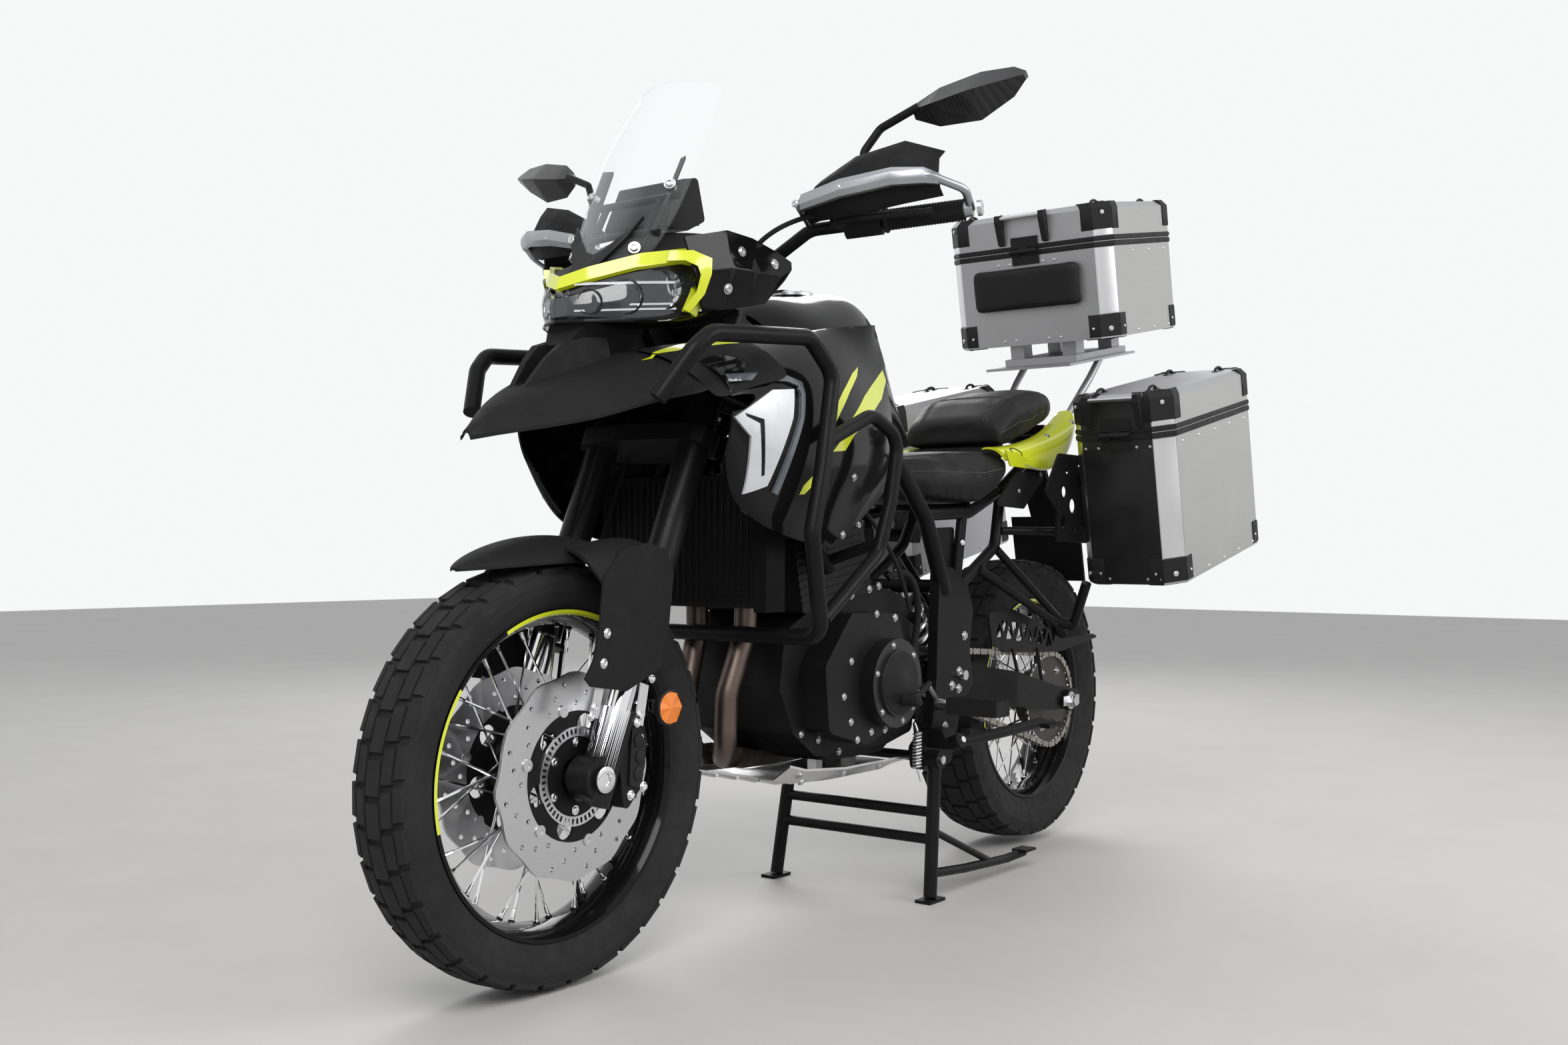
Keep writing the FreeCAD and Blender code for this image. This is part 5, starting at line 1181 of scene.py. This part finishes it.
def nose_cover():
    """The cover between lamp, screen and winglets, and the forked base in front of the screen."""
    cover("nose_cover", whole([
        [(798, 0, 1098), (776, 42, 1112), (720, 100, 1136), (656, 140, 1148), (612, 158, 1150)],
        [(742, 0, 1116), (728, 40, 1126), (690, 88, 1147), (640, 132, 1163), (594, 168, 1166)],
        [(704, 0, 1148), (690, 40, 1152), (656, 84, 1168), (616, 124, 1180), (570, 172, 1178)],
        [(650, 0, 1192), (640, 44, 1193), (616, 88, 1193), (580, 130, 1192), (540, 176, 1184)],
        [(600, 0, 1206), (592, 46, 1205), (570, 90, 1202), (540, 132, 1196), (486, 184, 1176)]]), "matte_black")
    cover("lamp_back", whole([
        [(790, 0, 1036), (760, 60, 1034), (720, 98, 1034), (664, 136, 1042), (640, 150, 1060)],
        [(720, 0, 1030), (700, 56, 1028), (660, 96, 1030), (610, 140, 1044), (596, 160, 1066)],
        [(640, 0, 1040), (630, 50, 1040), (600, 90, 1046), (560, 140, 1062), (540, 168, 1082)]]), "gloss_black")
    prongs, bolts = Shape(), Shape()
    prong = ((768, 0, 1110), (762, 22, 1112), (741, 34, 1136), (716, 60, 1172), (690, 74, 1210), (704, 52, 1186),
             (724, 20, 1158), (728, 0, 1150))
    for side in both_sides:
        prongs.slab([(x, side * y, z) for x, y, z in prong], (-5, 0, -3))
        bolts.bolt((764, -11 * side, 1113), (0.4, 0, 0.92), 5, 3)
    prongs.piece("screen_base", "satin_black", sharp=20)
    bolts.piece("screen_base_bolts", "zinc")


def screen_fittings():
    """Arms, big bolts and a bar for instruments at the windscreen, the dash's display and the winglets' bolts."""
    tree = surface_of("windscreen")
    arms, bolts = Shape(), Shape()
    for side in both_sides:
        places = []
        for x, y, z in ((712, 74, 1160), (690, 90, 1196), (655, 96, 1276), (626, 98, 1330)):
            spot, normal, _, _ = tree.find_nearest(Vector((x, side * y, z)) * MM)
            places.append((spot / MM, normal if normal.x >= 0 else -normal))
        for spot, normal in places[::2]:
            bolts.bolt(spot + normal * 1.5, normal, 7.5, 5)
            bolts.lathe(spot - normal * 4, -normal, [(0, 9), (8, 9), (9, 7)], 20)
        arms.stack([[spot - normal * 12 + Vector((x, side * y, z)) for x, y, z in (
            (-4, -9, -3), (4, 9, -3), (4, 9, 3), (-4, -9, 3))] for spot, normal in places])
    arms.tube([(676, -96, 1184), (676, 0, 1188), (676, 96, 1184)], 6, 12)
    arms.piece("screen_arms", "satin_black")
    bolts.piece("screen_bolts", "zinc")
    low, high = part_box("dash")[:2]
    x, z0, z1 = low[0] / MM, low[2] / MM + 16, high[2] / MM - 14
    Shape().slab([(x + 6, -58, z0), (x + 6, 58, z0), (x + 16, 58, z1), (x + 16, -58, z1)], (-7, 0, 2)).piece(
        "dash_display", "dark_glass")
    side_bolts(surface_of("nose_panels"), ((571, 1159), (599, 1095), (492, 1150)), 6.5, 4, 300).piece(
        "winglet_bolts", "zinc")


def stripes():
    """Yellow stripes on the shrouds and dark middle lines in their lamps."""
    tree = surface_of("side_shrouds", "fuel_tank")
    film("shroud_stripe_a", tree, [(277, 998), (290, 980), (332, 948), (374, 909), (414, 868), (428, 864), (427, 875),
                                   (397, 911), (358, 946), (310, 982)], "yellow")
    film("shroud_stripe_b", tree, [(170, 1004), (158, 985), (191, 949), (256, 913), (330, 872), (361, 844), (402, 840),
                                   (362, 872), (335, 901), (273, 946), (207, 982)], "yellow")
    film("shroud_stripe_c", tree, [(403, 819), (422, 803), (447, 787), (477, 766), (491, 765), (482, 780), (451, 802),
                                   (431, 818)], "yellow")
    film("lamp_lines", surface_of("shroud_lamps"), [(642, 888), (597, 881), (586, 793), (592, 791), (606, 874),
                                                    (637, 883)], "gloss_black")


def shoulders():
    """Covers from the beak to the shrouds with long thin stripes, the brow's hooks and the nose's underside."""
    rows = (((708, 60, 995), (708, 95, 989), (708, 130, 979), (708, 168, 962), (704, 214, 930), (698, 236, 900)),
            ((650, 76, 1007), (650, 108, 1003), (650, 142, 994), (650, 178, 980), (644, 224, 954), (640, 249, 926)),
            ((598, 110, 1016), (602, 134, 1013), (600, 162, 1007), (596, 190, 996), (590, 232, 968), (586, 257, 940)),
            ((540, 146, 1026), (546, 162, 1023), (546, 180, 1018), (544, 202, 1008), (538, 238, 982), (532, 258, 952)))
    stripe = (((729, 108), (729, 109)), ((703, 109), (699, 119)), ((660, 107), (672, 131)), ((624, 112), (635, 136)),
              ((602, 135), (608, 158)), ((583, 155), (588, 168)), ((566, 178), (567, 180)))
    steps, start, lift = 5, 1060, 0.8
    beak = surface_of("beak")
    for side in both_sides:
        shoulder = cover(f"shoulder_{side}", [[(x, side * y, z) for x, y, z in row] for row in rows], "matte_black")
        trees = (tree_of_piece(shoulder), beak)
        laid = []
        for edges in zip(stripe, stripe[1:]):
            for k in range(steps):
                row = []
                for (x0, y0), (x1, y1) in zip(*edges):
                    x, y = x0 + (x1 - x0) * k / steps, side * (y0 + (y1 - y0) * k / steps)
                    hits = [tree.ray_cast(Vector((x, y, start)) * MM, -Z)[0] for tree in trees]
                    row.append((x, y, max(hit.z / MM for hit in hits if hit is not None) + lift))
                laid.append(row)
        Shape().sheet(laid).piece(f"beak_stripe_{side}", "yellow", sharp=60)
    outer = ((700, 142, 1145), (674, 167, 1147), (640, 178, 1138), (641, 178, 1113), (650, 171, 1080), (663, 151, 1051))
    inner = ((703, 138, 1129), (685, 160, 1130), (669, 173, 1122), (663, 174, 1109), (660, 163, 1084), (675, 147, 1055))
    hooks = Shape().stack([[a, b, (b[0] - 6, b[1] - 7, b[2]), (a[0] - 6, a[1] - 7, a[2])]
                           for a, b in zip(outer, inner)])
    hooks.mirror().piece("brow_hooks", "yellow", sharp=30)
    Shape().stack([[(x0, -y, z), (x1, -y * 0.8, z), (x1, y * 0.8, z), (x0, y, z)] for x0, x1, y, z in (
        (656, 776, 52, 1042), (660, 792, 46, 1022), (676, 806, 34, 996), (690, 800, 28, 986))]).piece(
        "nose_under", "matte_black", sharp=20)


def tail_fillers():
    """The cowl's lower front edge on both sides and the step between the seats."""
    Shape().slab([(-350, 159, 886), (-370, 160, 853), (-470, 161, 851), (-506, 162, 857), (-440, 166, 868),
                  (-392, 163, 882)], Y * 4).mirror().piece("cowl_skirts", "yellow", sharp=20)
    Shape().stack([[(x, -y, low), (x, y, low), (x, y * 0.96, high), (x, -y * 0.96, high)] for x, y, low, high in (
        (-386, 98, 862, 882), (-404, 102, 866, 898), (-450, 104, 880, 908))]).piece("seat_step", "moulded", sharp=30)


def tank_cap():
    """Filler cap with its bolts, hinge and lock."""
    dark, light = Shape(), Shape()
    x, z = 190, 1158
    light.lathe((x, 0, z - 6), Z, [(0, 43.4), (5, 43.4), (7, 42), (7.6, 39), (6.6, 38)], 64, False)
    dark.lathe((x, 0, z), Z, [(0, 38), (1.6, 37), (2.4, 31), (3.2, 29), (3.4, 0.01)], 64, False)
    for k in range(7):
        a = 2 * pi * k / 7 + 0.3
        light.bolt((x + 35 * cos(a), 35 * sin(a), z + 1), Z, 2.6, 2.2, False)
    light.lathe((x - 12, 0, z + 3), Z, [(0, 9), (1.4, 8.6), (1.8, 6.5), (0.8, 6)], 24)
    dark.slab([(x + 24, -9, z), (x + 44, -9, z - 2), (x + 44, -9, z + 3), (x + 26, -9, z + 5)], Y * 18)
    dark.piece("filler_lid", "satin_black")
    light.piece("filler_ring", "zinc")


def grip_point(along, fore=0, rise=0):
    """A point along the left grip's axis, moved forward and up."""
    return grip_start + grip_way * along + Vector((fore, 0, rise))


def grips_ribbed():
    """Ribs round both grips, their flanges and the buttons on the control pods."""
    ribs, flange, buttons = Shape(), Shape(), Shape()
    for along in range(136, 266, 5):
        ribs.lathe(grip_point(along), grip_way, [(-1.3, 16.9), (-0.8, 17.9), (0.8, 17.9), (1.3, 16.9)], 28, False)
    flange.lathe(grip_point(131), grip_way, [(-2, 17), (-2, 21), (2, 21.5), (4, 19), (5, 17)], 28, False)
    for along, rise in ((78, 12), (92, 12), (104, 12), (84, -4), (98, -4)):
        buttons.stack([[grip_point(along, x - 20, rise) + Vector((0, y * grow, z * grow))
                        for y, z in ((-5, -4), (5, -4), (5, 4), (-5, 4))] for x, grow in ((-6, 1), (0, 1.25))])
    ribs.mirror().piece("grip_ribs", "rubber", "steering")
    flange.mirror().piece("grip_flanges", "rubber", "steering")
    buttons.mirror().piece("switch_buttons", "zinc", "steering")


def bar_fittings():
    """Rail screws and plates, mirror boots and the hoses from the bar."""
    screws, boots, plates = Shape(), Shape(), Shape()
    for place in ((112, 108, 36), (30, 91, 24)):
        screws.bolt(grip_point(*place), X, 5, 3)
    screws.lathe(grip_point(284), grip_way, [(0, 13.5), (6, 13.5), (8, 12), (8, 5), (6, 4)], 28)
    boots.lathe(grip_point(92, 0, 24), Z, [(0, 12), (4, 14), (8, 12.4), (12, 13.4), (16, 11.6), (20, 12.4),
                                           (26, 10.4), (34, 10.8), (42, 9), (50, 8)], 24)
    screws.mirror().piece("rail_screws", "zinc", "steering")
    boots.mirror().piece("mirror_boots", "rubber", "steering")
    for side in both_sides:
        hose(f"bar_hose_{side}", [(x, side * y, z) for x, y, z in (
            (459.8, 295, 1217), (470, 268, 1232), (520, 200, 1200), (520, 140, 1150), (500, 90, 1080),
            (520, 60, 1000))], 4.2, "steering")
    plates.stack([[grip_point(along, fore + x, rise + z * tall)
                   for x, z in ((-3, -15), (5, -14), (9.5, -5), (9.5, 6), (5, 14), (-3, 15))]
                  for along, fore, rise, tall in ((26, 74, 22, 0.6), (40, 87, 25, 0.9), (112, 101, 36, 1),
                                                  (200, 105, 42, 1), (246, 92, 40, 0.9), (262, 78, 35, 0.6))])
    plates.mirror().piece("rail_plates", "rail_metal", "steering", 25)


def tail_details():
    """Lamp lens, turn lamps, reflector and blank board at the back, and the rear axle's adjusters."""
    red, dark, orange, steel = Shape(), Shape(), Shape(), Shape()
    red.stack([[(x, y * w, z) for y, z in ((-44, 934), (44, 934), (46, 951), (44, 968), (-44, 968), (-46, 951))]
               for x, w in ((-774, 1), (-779, 0.97), (-781, 0.85))])
    for y in range(-36, 37, 9):
        red.tube([(-782, y, 938), (-782.6, y, 951), (-782, y, 964)], 1.2, 5)
    red.lathe((-884, 0, 650), (-1, 0, -0.2), [(0, 26), (2, 26), (4, 22), (4.4, 0.01)], 32, False)
    for side in both_sides:
        way = Y * side
        dark.tube([(-800, side * 30, 836), (-808, side * 50, 838), (-810, side * 62, 838)], 6, 10)
        orange.lathe((-810, side * 62, 838), (0, side, 0.05), [(0, 7), (3, 12), (16, 14), (30, 11), (36, 5)], 20)
        hub = wheel_point(rear_axle, 0, 0, side * 158)
        steel.lathe(hub, way, [(-2, 15), (8, 15), (10, 13), (10, 6)], 6)
        steel.lathe(hub, way, [(-1, 20), (1.4, 20)], 28)
        steel.slab([(-706, side * 157, 322), (-628, side * 157, 322), (-628, side * 157, 344),
                    (-706, side * 157, 344)], way * 1.6)
        steel.lathe((-724, side * 140, 330), -X, [(-4, 7), (4, 7), (6, 5)], 6)
    red.piece("tail_lens", "red_lens")
    dark.piece("turn_stalks", "moulded")
    orange.piece("turn_lenses", "orange")
    Shape().slab([(-845, -84, 750), (-845, 84, 750), (-877, 84, 606), (-877, -84, 606)], (-1.6, 0, 0.4)).piece(
        "blank_board", "silver_panel")
    steel.piece("axle_hardware", "zinc")


def rear_brake():
    """Caliper on the right, with its hose."""
    Shape().stack([[(x, y, z) for x, z in ((-600, 440), (-560, 432), (-548, 404), (-560, 376), (-604, 384),
                                           (-616, 412))] for y in (-84, -112)]).piece("rear_caliper", "cast_black")
    Shape().bolts(((-588, 424), (-570, 394)), -112, 6, 4).piece("rear_caliper_bolts", "zinc")
    hose("rear_brake_hose", [(-560, -104, 420), (-500, -120, 440), (-400, -124, 420), (-260, -120, 400),
                             (-180, -110, 420)], 3.4)


def cowl_details():
    """The recess ring on the tail cowl and the grab rails' bolts."""
    tree, dark = surface_of("tail_cowl"), Shape()
    for side in both_sides:
        ring = []
        for k in range(25):
            a = 2 * pi * k / 24
            hit, _ = side_hit(tree, -402 + 15 * cos(a) - 3 * sin(a), 884 + 7 * sin(a) + 5 * cos(a), side)
            if hit is not None:
                ring.append(hit + Y * side * 0.2)
        dark.tube(ring, 1.4, 6)
    dark.piece("cowl_recess", "moulded")
    side_bolts(tree, ((-560, 930), (-690, 970)), 5, 3).piece("cowl_bolts", "zinc")


def foot_controls():
    """Ribs on the rider's pegs, the shift lever with its rod and the brake pedal."""
    ribs, lever, pedal = Shape(), Shape(), Shape()
    for x in range(-112, -66, 8):
        ribs.block((x, 192, 384), (x + 4, 298, 387))
    ribs.mirror().piece("peg_ribs", "rubber")
    lever.tube([(10, 196, 420), (60, 204, 402), (118, 214, 396)], 6, 12)
    lever.lathe((118, 214, 396), Y, [(-8, 6), (-6, 10), (26, 10), (30, 7)], 20)
    lever.piece("shift_lever", "rubber")
    Shape().tube([(-104, 170, 372), (-40, 182, 384), (10, 194, 418)], 4, 10).piece("shift_rod", "zinc")
    pedal.tube([(-90, -176, 372), (-20, -190, 366), (70, -206, 372), (110, -214, 380)], 7, 12)
    pedal.lathe((110, -214, 382), -Y, [(-14, 9), (-12, 12), (16, 12), (18, 9)], 20)
    pedal.piece("brake_pedal", "frame_black")


def skid_ribs():
    """Ribs along the skid plate and its bolts."""
    ribs, bolts = Shape(), Shape()
    for y in (-72, -24, 24, 72):
        ribs.tube([(378, y, 268), (330, y, 256.6), (210, y, 250.6), (60, y, 250.6)], 3, 8)
    for x in (70, 190, 320):
        for side in both_sides:
            bolts.bolt((x, side * 122, 262), (0, side * 0.7, -0.7), 6, 3)
    ribs.piece("skid_ribs", "skid_metal")
    bolts.piece("skid_bolts", "zinc")


# Tread blocks of a pitch: side from, side to, start and length along it, and skew towards the shoulder.
front_columns = ((-14.5, 14.5, 0.05, 0.84, 0), (17, 37.5, 0.3, 0.85, 0.1), (-37.5, -17, 0.3, 0.85, 0.1),
                 (39.5, 53.5, 0.42, 0.82, 0.1), (-53.5, -39.5, 0.42, 0.82, 0.1))
rear_columns = ((-20, 20, 0.05, 0.85, 0), (22.5, 48, 0.3, 0.86, 0.1), (-48, -22.5, 0.3, 0.86, 0.1),
                (50.5, 73, 0.42, 0.83, 0.1), (-73, -50.5, 0.42, 0.83, 0.1))

camera()
dress_nodes()
studio()
paint_parts()
tyre("front_tread", "front_tyre", front_axle, 328, front_rim_r, 56, 44, 9, 34, front_columns, "front_wheel")
tyre("rear_tread", "rear_tyre", rear_axle, 321, rear_rim_r, 76, 60, 11, 32, rear_columns, "rear_wheel")
rim_stripes("front_stripes", front_axle, 253.4, 44.3, "front_wheel")
rim_stripes("rear_stripes", rear_axle, 228.4, 60.3, "rear_wheel")
spoke_ends("front_spokes", front_axle, front_rim_r, front_hub_half, "front_wheel")
spoke_ends("rear_spokes", rear_axle, rear_rim_r, rear_hub_half, "rear_wheel")
for build in (front_disc_fittings, sprocket_teeth, chain_links, seats, cases, backrest, reflectors, fork_fittings,
              machine_bolts, engine_details, springs, radiator_core, headlight_inside, nose_cover, screen_fittings,
              stripes, shoulders, tail_fillers, tank_cap, grips_ribbed, bar_fittings, tail_details, rear_brake,
              cowl_details, foot_controls, skid_ribs):
    build()
